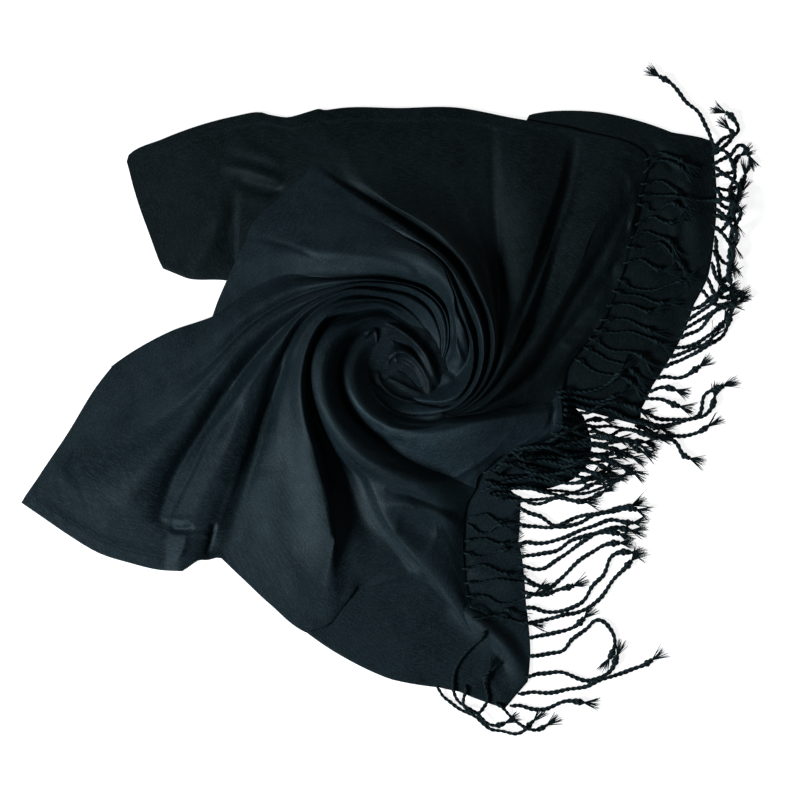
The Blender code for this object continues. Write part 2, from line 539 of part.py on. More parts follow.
def hidden_layers_mesh(name):
    """The layers that don't show: one flat, rounded solid that follows the outline."""
    rings = [[(distance * factor, height * HIDDEN_HEIGHT) for _, distance in HIDDEN_EDGE]
             for factor, height in HIDDEN_RINGS]
    for radius, height in HIDDEN_CORE:
        draw_in = 1 - HIDDEN_ROUNDING * (1 - radius / HIDDEN_CORE[0][0])
        rings.append([(min(radius, distance * HIDDEN_SHOULDER) * draw_in, height * HIDDEN_HEIGHT)
                      for _, distance in HIDDEN_EDGE])
    solid = bmesh.new()
    loops = []
    for ring in rings:
        loops.append([solid.verts.new(polar(radius, degrees, height))
                      for (degrees, _), (radius, height) in zip(HIDDEN_EDGE, ring)])
    count = len(HIDDEN_EDGE)
    for lower, upper in zip(loops, loops[1:]):
        for j in range(count):
            solid.faces.new((lower[j], lower[(j + 1) % count], upper[(j + 1) % count], upper[j]))
    solid.faces.new(list(reversed(loops[0])))
    solid.faces.new(loops[-1])
    bmesh.ops.recalc_face_normals(solid, faces=solid.faces)
    mesh = bpy.data.meshes.new(name)
    solid.to_mesh(mesh)
    solid.free()
    return mesh


def eye_tuft_mesh(name):
    """A small domed fold in the middle of the swirl."""
    shell = bmesh.new()

    def dome(drop):
        loops = []
        for radius, height in TUFT_ROWS:
            lean = (height - TUFT_ROWS[0][1]) / (TUFT_ROWS[-1][1] - TUFT_ROWS[0][1])
            loops.append([])
            for side in range(TUFT_SIDES):
                point = polar(radius, 360 * side / TUFT_SIDES, height - drop)
                point.x += TUFT_LEAN[0] * lean * MM
                point.y += TUFT_LEAN[1] * lean * MM
                loops[-1].append(shell.verts.new(point))
        for lower, upper in zip(loops, loops[1:]):
            for j in range(TUFT_SIDES):
                k = (j + 1) % TUFT_SIDES
                shell.faces.new((lower[j], lower[k], upper[k], upper[j]))
        shell.faces.new(loops[-1])
        return loops[0]

    upper_rim = dome(0.0)
    lower_rim = dome(TUFT_WALL)
    for j in range(TUFT_SIDES):
        k = (j + 1) % TUFT_SIDES
        shell.faces.new((upper_rim[j], upper_rim[k], lower_rim[k], lower_rim[j]))
    bmesh.ops.recalc_face_normals(shell, faces=shell.faces)
    mesh = bpy.data.meshes.new(name)
    shell.to_mesh(mesh)
    shell.free()
    return mesh


def plan_point(step, height):
    """A point of the plan grid, in metres."""
    return Vector(((step[0] - EYE_STEP[0]) * PLAN_STEP, (EYE_STEP[1] - step[1]) * PLAN_STEP, height))


def curve_through(points):
    """A smooth course through the given points, at about one length for each piece."""
    course = []
    ends = [points[0] * 2 - points[1]] + points + [points[-1] * 2 - points[-2]]
    for index in range(1, len(ends) - 2):
        before, start, end, after = ends[index - 1:index + 3]
        pieces = max(1, round((end - start).length / TASSEL_PIECE))
        for piece in range(pieces):
            t = piece / pieces
            course.append(0.5 * (2 * start + (end - before) * t
                                 + (2 * before - 5 * start + 4 * end - after) * t * t
                                 + (3 * start - before - 3 * end + after) * t ** 3))
    course.append(points[-1])
    return course


def tube(shell, course, radii, sides):
    """A closed tube along a course, with a radius at each of its points."""
    loops = []
    for index, point in enumerate(course):
        before = course[max(index - 1, 0)]
        after = course[min(index + 1, len(course) - 1)]
        along = (after - before).normalized()
        across = Vector((-along.y, along.x, 0)).normalized()
        upward = along.cross(across)
        loop = []
        for side in range(sides):
            angle = 2 * math.pi * side / sides + math.pi / 2
            offset = across * math.cos(angle) + upward * math.sin(angle)
            loop.append(shell.verts.new(point + offset * radii[index]))
        loops.append(loop)
    for first, second in zip(loops, loops[1:]):
        for j in range(sides):
            k = (j + 1) % sides
            shell.faces.new((first[j], first[k], second[k], second[j]))
    shell.faces.new(loops[0])
    shell.faces.new(loops[-1])


def strip_mesh(name, points, bottom, top):
    """The narrow strip just outside the cloth's edge."""
    shell = bmesh.new()
    loops = []
    for index, point in enumerate(points):
        before = points[max(index - 1, 0)]
        after = points[min(index + 1, len(points) - 1)]
        along = (after - before).normalized()
        across = Vector((-along.y, along.x, 0)) * STRIP_WIDTH / 2
        loops.append([shell.verts.new(point + across + Vector((0, 0, bottom))),
                      shell.verts.new(point - across + Vector((0, 0, bottom))),
                      shell.verts.new(point - across + Vector((0, 0, top))),
                      shell.verts.new(point + across + Vector((0, 0, top)))])
    for first, second in zip(loops, loops[1:]):
        for j in range(4):
            k = (j + 1) % 4
            shell.faces.new((first[j], first[k], second[k], second[j]))
    shell.faces.new(loops[0])
    shell.faces.new(loops[-1])
    bmesh.ops.recalc_face_normals(shell, faces=shell.faces)
    mesh = bpy.data.meshes.new(name)
    shell.to_mesh(mesh)
    shell.free()
    return mesh


def nearest_on_run(point, run, height):
    """The nearest point to a tassel's root on its strip, a little inside the ends."""
    best = None
    for start, end in zip(run, run[1:]):
        _, share = distance_to_run(point.xy, start.xy, end.xy)
        inset = min(ROOT_INSET, TASSEL_RADIUS / (end - start).length)
        share = max(inset, min(1 - inset, share))
        candidate = start + (end - start) * share
        if best is None or (candidate.xy - point.xy).length < (best.xy - point.xy).length:
            best = candidate
    return Vector((best.x, best.y, height))


def add_fringe(name, material, collection, cutters):
    """A strip along one stretch of hem, with its tassels fused to it by their roots."""
    lift = RAISED_STRIPS.get(name, STRIP_BOTTOM)
    strip_points = [plan_point(step, 0.0) for step in FRINGE_EDGES[name]]
    node = add_node(name, strip_mesh(name, strip_points, lift, lift + STRIP_TOP - STRIP_BOTTOM), material,
                    collection)
    root_height = lift + (STRIP_TOP - STRIP_BOTTOM) / 2
    strands = bmesh.new()
    for level, *steps in TASSELS[name]:
        low = TASSEL_FLOOR + TASSEL_RADIUS
        middle = max(level * MM, low)
        heights = [root_height] + [middle] * (len(steps) - 2) + [middle]
        points = [plan_point(step, height) for step, height in zip(steps, heights)]
        points[0] = nearest_on_run(points[0], strip_points, root_height)
        course = curve_through(points)
        radii = [ROOT_RADIUS] + [TASSEL_RADIUS] * (len(course) - 3) + [TASSEL_RADIUS * KNOT_FACTOR, TUFT_RADIUS]
        for point, radius in zip(course, radii):
            point.z = max(point.z, TASSEL_FLOOR + radius)
        course[0].z = root_height
        tube(strands, course, radii, TASSEL_SIDES)
    bmesh.ops.recalc_face_normals(strands, faces=strands.faces)
    mesh = bpy.data.meshes.new(name + "_strands")
    strands.to_mesh(mesh)
    strands.free()
    cutter = bpy.data.objects.new(name + "_strands", mesh)
    cutter.hide_render = True
    cutter.display_type = "WIRE"
    cutters.objects.link(cutter)
    union = node.modifiers.new("roots", "BOOLEAN")
    union.operation = "UNION"
    union.solver = "EXACT"
    union.use_self = True
    union.object = cutter
    return node


def main():
    clear_scene()
    collection = bpy.data.collections.new(COLLECTION)
    cutters = bpy.data.collections.new("tassel_strands")
    bpy.context.scene.collection.children.link(collection)
    bpy.context.scene.collection.children.link(cutters)
    cloth = make_material("black_twill", CLOTH_COLOR, 0.55)
    yarn = make_material("twisted_yarn", FRINGE_COLOR, 0.7)
    for name in ARMS:
        add_node(name, wall_mesh(name, arm_rows(name), CLOTH_THICKNESS), cloth, collection)
    for name in UNDER_CLOTHS:
        add_node(name, wall_mesh(name, under_rows(name), CLOTH_THICKNESS), cloth, collection)
    add_node("folded_layers", hidden_layers_mesh("folded_layers"), cloth, collection)
    add_node("eye_tuft", eye_tuft_mesh("eye_tuft"), cloth, collection)
    for name in TASSELS:
        add_fringe(name, yarn, collection, cutters)


main()
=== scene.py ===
# Fringed stole in blue-black satin-faced twill: folded in layers, laid flat and
# swirled round its middle. Lengths in the tables are millimetres unless a name
# says px; a px is a step of the plan grid, x to the right and y downwards.
import math
import random

import bmesh
import bpy
import numpy as np
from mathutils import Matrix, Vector, noise


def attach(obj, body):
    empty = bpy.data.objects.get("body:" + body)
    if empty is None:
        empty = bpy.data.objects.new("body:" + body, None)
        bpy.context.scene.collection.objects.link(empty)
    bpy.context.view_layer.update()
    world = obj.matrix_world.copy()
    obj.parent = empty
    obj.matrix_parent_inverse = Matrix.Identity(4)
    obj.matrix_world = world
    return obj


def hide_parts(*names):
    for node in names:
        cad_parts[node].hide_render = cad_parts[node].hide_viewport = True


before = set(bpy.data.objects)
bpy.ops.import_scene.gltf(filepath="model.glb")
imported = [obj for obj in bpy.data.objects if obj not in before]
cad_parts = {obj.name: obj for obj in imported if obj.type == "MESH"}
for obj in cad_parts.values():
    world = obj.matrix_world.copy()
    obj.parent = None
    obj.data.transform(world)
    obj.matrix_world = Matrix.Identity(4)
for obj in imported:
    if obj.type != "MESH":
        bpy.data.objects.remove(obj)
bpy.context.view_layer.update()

mm = 0.001
planStep = 0.72            # mm for a px
eyePx = (405, 362)         # the eye of the swirl on the plan grid
clothWall = 1.1

# the folds of the swirl
swirl = {
    "ringRadius": 90.0,        # inside this the folds wind round the eye
    "angleRadii": (170, 140, 115, 90, 80, 72, 65, 58, 52, 46, 40, 34, 28, 22),
    "edgeShares": (0, 0.25, 0.6),      # where the first three heights are, from the edge to the ring
    "heightRadii": (90, 65, 46, 30, 22),       # and where the others are
    "eyeSink": (1, 1, 1, 1, 1, 0.86, 0.56, 0.3),       # how far the heights sink towards the eye
    "edgeMargin": 4.0,         # an angle is read only this far inside the cloth's edge
    "outerRows": 108, "ringRows": 100, "rowCrowding": 1.25,    # rows are closer together by the edge
    "mostStrips": 28, "evenRounds": 2,
    # where the folds turn crisp, and where a soft valley does: 0 is the edge and 1 the ring
    "crisp": (0.45, 1.1), "softValleyCrisp": (0.2, 0.55),
}
# Each fold: its kind, its heights at the places above, and its angle in degrees
# at the cloth's edge and at each of angleRadii (None outside the edge).
out = None
folds = {
    "flapLeft": ("valley", (5.5, 6.5, 8, 13, 19, 13, 10, 9), (
        167.5, out, out, 152.5, 137.4, 131.5, 124, 113.5, 97, 68, 50, 37, 22, 4, -20)),
    "flapBroad": ("flat", (7, 10, 15, 22, 27, 15, 11, 9), (
        150, out, out, 135, 119, 108, 95, 82, 68, 57, 45, 32, 16, -3, -30)),
    "flapCrest": ("ridge", (7, 10, 15, 23, 34, 26, 13, 9), (
        136, out, out, 121, 100, 84, 69, 62.5, 54, 47.5, 39, 22, 4, -17, -45)),
    "eyePit": ("valley", (7, 10, 15, 23, 32, 16, 11, 9), (
        131, out, out, 117, 97.5, 82, 68.2, 61.2, 52, 43, 5, -12, -28, -42, -65)),
    "rollInner": ("ridge", (7, 10, 15, 23, 33, 29, 17, 10), (
        127, out, out, 114, 95, 80, 67.5, 60, 50, 38, -27, -42.5, -54, -66, -85)),
    "grooveInner": ("valley", (7, 10, 14, 21, 26, 18, 12, 9), (
        121, out, out, 108, 91, 77.5, 65, 56.5, 44, 13, -40, -51.5, -62, -80, -110)),
    "rollMiddle": ("ridge", (7, 9, 14, 23, 33, 24, 16, 10), (
        116.5, out, out, 103.5, 87, 73.5, 61.5, 49.5, 20, -23, -46, -57, -69, -90, -118)),
    "flapRight": ("valley", (4.4, 6.0, 8, 13, 23, 17, 12, 9), (
        112.8, out, 110.4, 100.6, 82.5, 67.5, 54.5, 35, -2, -34, -54, -76.5, -114, -154.5, -184.5)),
    "backEdge": ("flat", (2.2, 2.8, 3.8, 5.4, 6.2, 6.2, 6.2, 6.2), (
        158.8, 158.9, 155.2, 153, 148, 146, 143, 138, 130, 120, 108, 95, out, out, out)),
    "backMiddle": ("flat", (2.2, 2.9, 4.0, 5.6, 6.4, 6.4, 6.4, 6.4), (
        137, 136.5, 134, 131, 128, 120, 112, 103, 88, 70, 50, 30, out, out, out)),
    "topSeam": ("flat", (2.2, 4.8, 6.5, 12, 22, 19, 19, 19), (
        110.7, 110.4, 109, 99, 82.2, 67.2, 54.2, 34.7, -2.4, -34.6, -55, out, out, out, out)),
    "rollOuter": ("ridge", (2.2, 5.2, 10, 22, 31, 21, 21, 21), (
        104, 105, 103.5, 96, 69, 53.5, 40, 12, -17, -38, -55, out, out, out, out)),
    "topFlat": ("flat", (2.2, 5.5, 7.5, 13, 26, 20, 20, 20), (
        80, 80, 76, 68, 50, 40, 28, 5, -21, -39.5, -55, out, out, out, out)),
    "topValley": ("valley", (2.2, 4.4, 4.8, 7, 20, 19, 19, 19), (
        71, 69, 64, 56.5, 42, 32.5, 22, 0.5, -24, -41, -55, out, out, out, out)),
    "fanCrestA": ("ridge", (3.7, 9, 14.5, 19, 28, 20, 20, 20), (
        60, 54.5, 47.5, 38, 23, 12, 3, -10.5, -28, -43, -55, out, out, out, out)),
    "fanGrooveA": ("valley", (3.5, 4.2, 4.8, 7.0, 19, 18, 18, 18), (
        52.7, 44, 38, 28, 14, 7, -2, -17.6, -32, -45, -55, out, out, out, out)),
    "fanCrestB": ("ridge", (3.7, 9.5, 14, 18.5, 27, 19, 19, 19), (
        38, 35.5, 28, 19, 5.5, -4, -14, -26, -37, -46.5, -55, out, out, out, out)),
    "fanGrooveB": ("valley", (3.5, 4.2, 4.8, 7.0, 17, 17, 17, 17), (
        25, 24.7, 17.5, 9, -6, -14.5, -22, -31, -39, -47.5, -55, out, out, out, out)),
    "fanCrestC": ("ridge", (3.8, 7, 10, 14, 24, 18, 18, 18), (
        -4, out, out, out, -12, -18, -25, -33, -40, -48.3, -55, out, out, out, out)),
    "tongueUpper": ("valley", (5.6, 5.8, 6.5, 8, 14, 16, 11, 9), (
        -12, out, out, out, -21, -25.5, -30, -35, -41.5, -49, -56, -79, -116, -155.5, -185.5)),
    "tongueCrest": ("ridge", (11, 13, 16, 20, 28, 28, 16, 10), (
        -18, out, out, -18.5, -26.5, -32, -37, -42.5, -50, -62, -112, -144, -176, -203, -226)),
    "tongueLower": ("valley", (4.2, 5.4, 6.5, 9, 13, 11, 9, 8), (
        -61, out, out, out, -68, -76.5, -84.5, -94, -107, -141, -186, -206, -220, -236, -254)),
    "lowerCrest": ("ridge", (4.4, 10, 17, 23, 31, 27, 16, 10), (
        -69, out, out, out, -83, -98, -121, -141, -176, -197, -211, -226, -239, -255, -274)),
    "lowerGroove": ("valley", (3.5, 5.6, 9, 19.5, 27, 24, 15, 10), (
        -75, out, -77, -83, -93, -113, -138.8, -182, -199, -209.7, -219.2, -233.1, -244.6, -259.3, -280)),
    "longCrest": ("ridge", (3.7, 8.6, 13, 16, 23, 20, 14, 10), (
        -75.7, -78, -85.5, -95, -105, -119, -143.5, -187, -203, -212.4, -222.4, -237.2, -248.2, -262.6,
        -285)),
    "longFoot": ("flat", (2.2, 4.8, 5.4, 8.5, 19, 17, 12, 9.5), (
        -84, -84.5, -92, -102, -112.5, -127.5, -148.3, -192, -207, -215.1, -225.5, -241.3, -251.8, -265.9,
        -290)),
    "lowFlat": ("flat", (2.2, 5.0, 3.2, 4.4, 16, 14, 11, 9), (
        -96, -91, -97.5, -107, -118.5, -132, -153.2, -196.5, -210.5, -217.8, -228.8, -245.4, -255.4,
        -269.2, -295)),
    "hollow": ("softValley", (2.2, 5.4, 6.4, 8, 14, 12, 10, 9), (
        -106, -102.6, -107.2, -115, -129, -141, -162, -203.5, -215.5, -222.5, -234.5, -250.5, -260, -273.5,
        -301)),
    "broadCrest": ("ridge", (2.2, 6.4, 20, 25, 31, 26, 15, 10), (
        -118, -110.5, -111.4, -118.6, -138, -157, -182, -208, -219, -229, -242, -254, -264.4, -280, -309)),
    "broadFlat": ("flat", (2.2, 6.0, 11, 17.5, 27, 22, 14, 9), (
        -125, -124, -131, -140, -163, -183, -203.5, -218, -228, -238.5, -251.5, -263, -276, -294, -322)),
    "pleatSeam": ("valley", (2.2, 4.2, 4.8, 10, 20, 17, 12, 9), (
        -134.8, -139.8, -146.5, -156.5, -179.5, -198.5, -213, -225, -236, -243.5, -255, -269.5, -285, -303,
        -330)),
    "pleatCrest": ("ridge", (7.0, 9, 13.5, 20.5, 29, 24, 15, 10), (
        -137, -147, -154.5, -168, -188.6, -205.5, -218, -230.5, -241, -249.5, -267, -291, -307, -330,
        -352)),
    "pleatGroove": ("valley", (3.6, 4.2, 4.4, 11, 21, 18, 12, 9), (
        -139.3, -154.5, -164, -177, -196.5, -210, -221.3, -234.3, -246, -259, -283, -300, -317, -339,
        -361)),
    "leftCrest": ("ridge", (2.2, 8.0, 13.5, 20.5, 28, 23, 14, 10), (
        -147, -163.5, -173, -187, -205, -213.5, -224.5, -237.5, -252.5, -275, -298, -312, -328, -348,
        -370)),
    "leftCorner": ("flat", (2.2, 5.2, 9, 18, 27, 22, 13, 9.5), (
        -159.9, -169, -176.5, -190, -208.3, -217, -227, -239.2, -254.8, -278.8, -301, -315, -330, -350,
        -372)),
    "leftGroove": ("valley", (2.2, 4.8, 6, 14, 23, 18, 12, 9), (
        -168, -174, -179.8, -193.2, -211.5, -220.5, -229.3, -240.8, -256.8, -282, -303.5, -317.5, -332,
        -351.5, -374)),
    "leftRoll": ("ridge", (2.2, 5.2, 9, 18, 26, 21, 13, 9), (
        -175.7, -181, -186.5, -199.5, -217, -224.8, -232.8, -243.8, -260, -287, -307, -321, -335, -353.5,
        -377)),
    "leftEdge": ("valley", (2.2, 4.6, 6.5, 13, 19, 13, 10, 9), (
        -179, -187.2, -193.6, -207.5, -222.6, -228.5, -236, -246.5, -263, -292, -310, -323, -338, -356,
        -380)),
}

# Outline of each sheet: angle in degrees and distance from the eye.
outlines = {
    "noseFlap": ((167.5, 142), (155, 140.5), (143.8, 142.7), (137, 147.7), (129, 148), (120, 151),
                 (112.8, 158)),
    "topPanel": ((158.8, 187), (153.5, 205), (148.8, 224.9), (145.7, 238.9), (143.5, 248), (137.4, 236.4),
                 (131, 225), (124.8, 214.7), (120.2, 207.5), (118.4, 201.3), (115, 194), (111.4, 192.5),
                 (109, 192), (107.5, 189.5), (104.4, 188), (90.8, 182.2), (77.7, 186.5), (72.6, 188),
                 (67, 190.7), (52.7, 208), (40.8, 228), (34.6, 205.5), (27.5, 182.6), (19.9, 163),
                 (10.7, 143), (3.9, 126), (-4, 115.6), (-12, 114)),
    "tonguePanel": ((-12, 114), (-18, 118), (-23, 122), (-30, 116), (-38, 102), (-46, 96), (-57, 97),
                    (-61, 104)),
    "lowerPanel": ((-61, 104), (-66, 110), (-69, 118), (-72.4, 138), (-74.4, 160), (-75.4, 196), (-76, 200),
                   (-79.5, 179), (-84.7, 160), (-88.6, 156), (-96.5, 161), (-104.7, 171), (-107.5, 190),
                   (-109.5, 207), (-119.3, 199), (-127.8, 194), (-133.3, 193), (-134.9, 200.5),
                   (-136.3, 206), (-136.8, 218.5), (-137.6, 222), (-139.8, 231), (-144, 245), (-148, 259),
                   (-152.7, 271.5), (-156.6, 282.5), (-159.5, 292.2), (-159.9, 293.6), (-160.3, 291.2),
                   (-162.8, 275), (-168.5, 246), (-175.7, 221.7), (-179, 211)),
}


# curves and grids
def addPiece(name, data):
    piece = bpy.data.objects.new(name, data)
    bpy.context.scene.collection.objects.link(piece)
    return piece


def smoothCurve(stations, values, places):
    # a curve through the values that never overshoots them
    order = np.argsort(stations)
    xs, ys = np.array(stations, float)[order], np.array(values, float)[order]
    slopes = np.diff(ys) / np.diff(xs)
    tangents = np.empty(len(xs))
    tangents[0], tangents[-1] = slopes[0], slopes[-1]
    before, after = slopes[:-1], slopes[1:]
    total = np.where(before + after == 0, 1, before + after)
    tangents[1:-1] = np.where(before * after <= 0, 0, 2 * before * after / total)
    places = np.clip(places, xs[0], xs[-1])
    index = np.clip(np.searchsorted(xs, places, side="right") - 1, 0, len(xs) - 2)
    width = xs[index + 1] - xs[index]
    t = (places - xs[index]) / width
    return (ys[index] * (1 + 2 * t) * (1 - t) ** 2 + ys[index + 1] * t * t * (3 - 2 * t)
            + width * tangents[index] * t * (1 - t) ** 2 - width * tangents[index + 1] * t * t * (1 - t))


def ease(value, low, high):
    t = np.clip((np.asarray(value, float) - low) / (high - low), 0, 1)
    return t * t * (3 - 2 * t)


def fromPx(px):
    # the place of a px on the plan, in mm from the eye
    return np.array([(px[0] - eyePx[0]) * planStep, (eyePx[1] - px[1]) * planStep])


def softNoise(plan, size, seed):
    # gentle unevenness, -1 to 1, with humps of about the given size; a seed reads another part of it
    shift = Vector((seed * 17.3, seed * 5.1, seed * 2.7))
    return np.array([noise.noise(Vector((x, y, 0)) / size + shift) for x, y in plan])


def foldShare(kind, nextKind, share, sharpness):
    # how far the height has gone from one fold to the next: near the eye the
    # ridges are round and the valleys sharp, further out both are soft
    soft = share * share * (3 - 2 * share)
    if kind == "valley" and nextKind == "ridge":
        sharp = np.sin(share * math.pi / 2)
    elif kind == "ridge" and nextKind == "valley":
        sharp = 1 - np.cos(share * math.pi / 2)
    else:
        sharp = soft
    return soft + (sharp - soft) * sharpness


def polylinePoints(points, step):
    # a smooth course through points, about one step apart
    points = [np.array(p, float) for p in points]
    ends = [2 * points[0] - points[1]] + points + [2 * points[-1] - points[-2]]
    course = []
    for before, start, end, after in zip(ends, ends[1:], ends[2:], ends[3:]):
        count = max(1, int(round(np.linalg.norm(end - start) / step)))
        for t in np.arange(count) / count:
            course.append(0.5 * (2 * start + (end - before) * t
                                 + (2 * before - 5 * start + 4 * end - after) * t * t
                                 + (3 * start - before - 3 * end + after) * t ** 3))
    course.append(points[-1])
    return np.array(course)


strokeStep = 3.0           # mm between the points of a crease


def strokeLift(plan, strokes):
    # how far listed creases raise or sink the points of a plan, in mm.
    # A stroke: height, half width on its left, on its right, and its points in px.
    lift = np.zeros(len(plan))
    for height, leftWidth, rightWidth, *points in strokes:
        course = polylinePoints([fromPx(p) for p in points], strokeStep)
        starts, runs = course[:-1], np.diff(course, axis=0)
        lengths = np.linalg.norm(runs, axis=1)
        reach = 3 * max(leftWidth, rightWidth)     # further away nothing is left of it
        low, high = course.min(0) - reach, course.max(0) + reach
        near = np.flatnonzero(np.all((plan > low) & (plan < high), axis=1))
        if not len(near):
            continue
        away = plan[near][:, None, :] - starts[None]
        share = np.clip((away * runs).sum(2) / lengths ** 2, 0, 1)
        distance = np.linalg.norm(away - share[..., None] * runs[None], axis=2)
        best = distance.argmin(1)
        rows = np.arange(len(near))
        side = runs[best, 0] * away[rows, best, 1] - runs[best, 1] * away[rows, best, 0]
        gone = np.concatenate([[0], np.cumsum(lengths)])
        along = (gone[best] + share[rows, best] * lengths[best]) / lengths.sum()
        width = np.where(side > 0, leftWidth, rightWidth)
        fade = np.sqrt(np.clip(np.sin(np.clip(along, 0, 1) * math.pi), 0, 1))
        lift[near] += height * fade * np.exp(-(distance[rows, best] / width) ** 2)
    return lift


# A turned hem is double, so the cloth steps down inside it.
hem = {"width": 9.0, "height": 0.5, "step": 0.6, "endAngle": 3, "stitchAt": 7.6, "rows": 40}


def foldedGrid(name, setting):
    # rows by columns of points over a fan of folds, from the edge to the eye
    ringRadius = swirl["ringRadius"]
    eyeReach = ringRadius - swirl["heightRadii"][-1]
    outlineAngles, outlineDistances = zip(*outlines[name])
    outer = np.linspace(0, 1, swirl["outerRows"], endpoint=False) ** swirl["rowCrowding"]
    ring = np.linspace(ringRadius, setting["last"], swirl["ringRows"])
    path = np.concatenate([outer, 1 + (ringRadius - ring) / eyeReach])
    stations = (*swirl["edgeShares"], *(1 + (ringRadius - r) / eyeReach for r in swirl["heightRadii"]))
    lines = []
    for fold in setting["folds"]:
        kind, heights, angles = folds[fold]
        heights = [h * share for h, share in zip(heights, swirl["eyeSink"])]
        edge = float(smoothCurve(outlineAngles, outlineDistances, angles[0]))
        known = [(r, a) for r, a in zip(swirl["angleRadii"], angles[1:])
                 if a is not None and r < edge - swirl["edgeMargin"]]
        known.append((edge, angles[0]))
        radii = np.concatenate([edge + (ringRadius - edge) * outer, ring])
        lines.append({"kind": "valley" if kind == "softValley" else kind, "gentle": kind == "softValley",
                      "edgeAngle": angles[0], "angle": smoothCurve(*zip(*known), radii),
                      "height": smoothCurve(stations, heights, path)})
    sharpness = setting["sharp"] + (1 - setting["sharp"]) * ease(path, *swirl["crisp"])
    columns = []
    for first, second in zip(lines, lines[1:]):
        turn = second["edgeAngle"] - first["edgeAngle"]
        rise = second["height"] - first["height"]
        kinds = (first["kind"], second["kind"])
        gentle = first["gentle"] or second["gentle"]
        crispness = sharpness * ease(path, *swirl["softValleyCrisp"]) if gentle else sharpness
        count = max(setting["strips"], min(int(abs(turn)), swirl["mostStrips"]))
        for share in np.arange(count + (second is lines[-1])) / count:
            edgeAngle = first["edgeAngle"] + turn * share
            edge = float(smoothCurve(outlineAngles, outlineDistances, edgeAngle))
            radius = np.concatenate([edge + (ringRadius - edge) * outer, ring])
            angle = np.radians(first["angle"] + (second["angle"] - first["angle"]) * share)
            shape = foldShare(*kinds, share, crispness)
            if kinds == ("valley", "ridge"):
                shape = np.where(rise < 0, share, shape)       # not a real fold here: just a slope
            elif kinds == ("ridge", "valley"):
                shape = np.where(rise > 0, share, shape)
            height = first["height"] + rise * shape
            for low, high in setting["hems"]:
                turned = (ease(edgeAngle, low, low + hem["endAngle"])
                          * (1 - ease(edgeAngle, high - hem["endAngle"], high)))
                inside = ease(edge - radius, hem["width"] - hem["step"], hem["width"] + hem["step"])
                height = height + hem["height"] * turned * (1 - inside)
            columns.append(np.stack([radius * np.cos(angle), radius * np.sin(angle), height], axis=1))
    return np.stack(columns, axis=1)


def relax(grid, rounds, acrossOnly=False):
    # evens out the heights, and keeps the edges where they are
    for _ in range(rounds):
        z = grid[:, :, 2]
        even = z.copy()
        even[:, 1:-1] = 0.25 * z[:, :-2] + 0.5 * z[:, 1:-1] + 0.25 * z[:, 2:]
        if not acrossOnly:
            z = even.copy()
            even[1:-1] = 0.25 * z[:-2] + 0.5 * z[1:-1] + 0.25 * z[2:]
        grid[:, :, 2] = even


# Where a sheet goes on under its neighbour: the share of the tuck that is left
# away from the eye, the width of the change, and the height that it stays above.
tuck = {"reach": 5.0, "drop": 2.4, "steps": 3, "least": 0.02, "change": 6, "lowest": 1.2}


def tuckColumn(grid, side, within):
    # carries a sheet on past one of its long edges, where it is nearer to the eye than within
    edge, inner = (grid[:, 0], grid[:, 1]) if side == "first" else (grid[:, -1], grid[:, -2])
    away = edge[:, :2] - inner[:, :2]
    along = np.gradient(edge[:, :2], axis=0)
    across = np.stack([-along[:, 1], along[:, 0]], axis=1)
    across /= np.maximum(np.linalg.norm(across, axis=1, keepdims=True), 1e-6)
    across *= np.where((across * away).sum(1, keepdims=True) < 0, -1, 1)
    distance = np.linalg.norm(edge[:, :2], axis=1)
    amount = (tuck["least"] + (1 - tuck["least"]) * ease(within - distance, 0, tuck["change"]))[:, None]
    extra = []
    for step in range(1, tuck["steps"] + 1):
        column = edge.copy()
        column[:, :2] += across * amount * tuck["reach"] * step / tuck["steps"]
        column[:, 2] -= tuck["drop"] * amount[:, 0] * step / tuck["steps"]
        column[:, 2] = np.maximum(column[:, 2], tuck["lowest"])
        extra.append(column)
    if side == "first":
        return np.concatenate([np.stack(extra[::-1], 1), grid], axis=1)
    return np.concatenate([grid, np.stack(extra, 1)], axis=1)


def clothMesh(name, verts, faces, flatPlace):
    # a smooth mesh with a UV map in metres that runs along and across the cloth
    mesh = bpy.data.meshes.new(name)
    mesh.from_pydata(verts.tolist(), [], faces)
    uvLayer = mesh.uv_layers.new(name="cloth")
    corners = np.empty(len(mesh.loops), dtype=np.int32)
    mesh.loops.foreach_get("vertex_index", corners)
    uvLayer.data.foreach_set("uv", flatPlace[corners].ravel())
    mesh.shade_smooth()
    mesh.materials.append(finishes[finishOf.get(name, "face")])
    return mesh


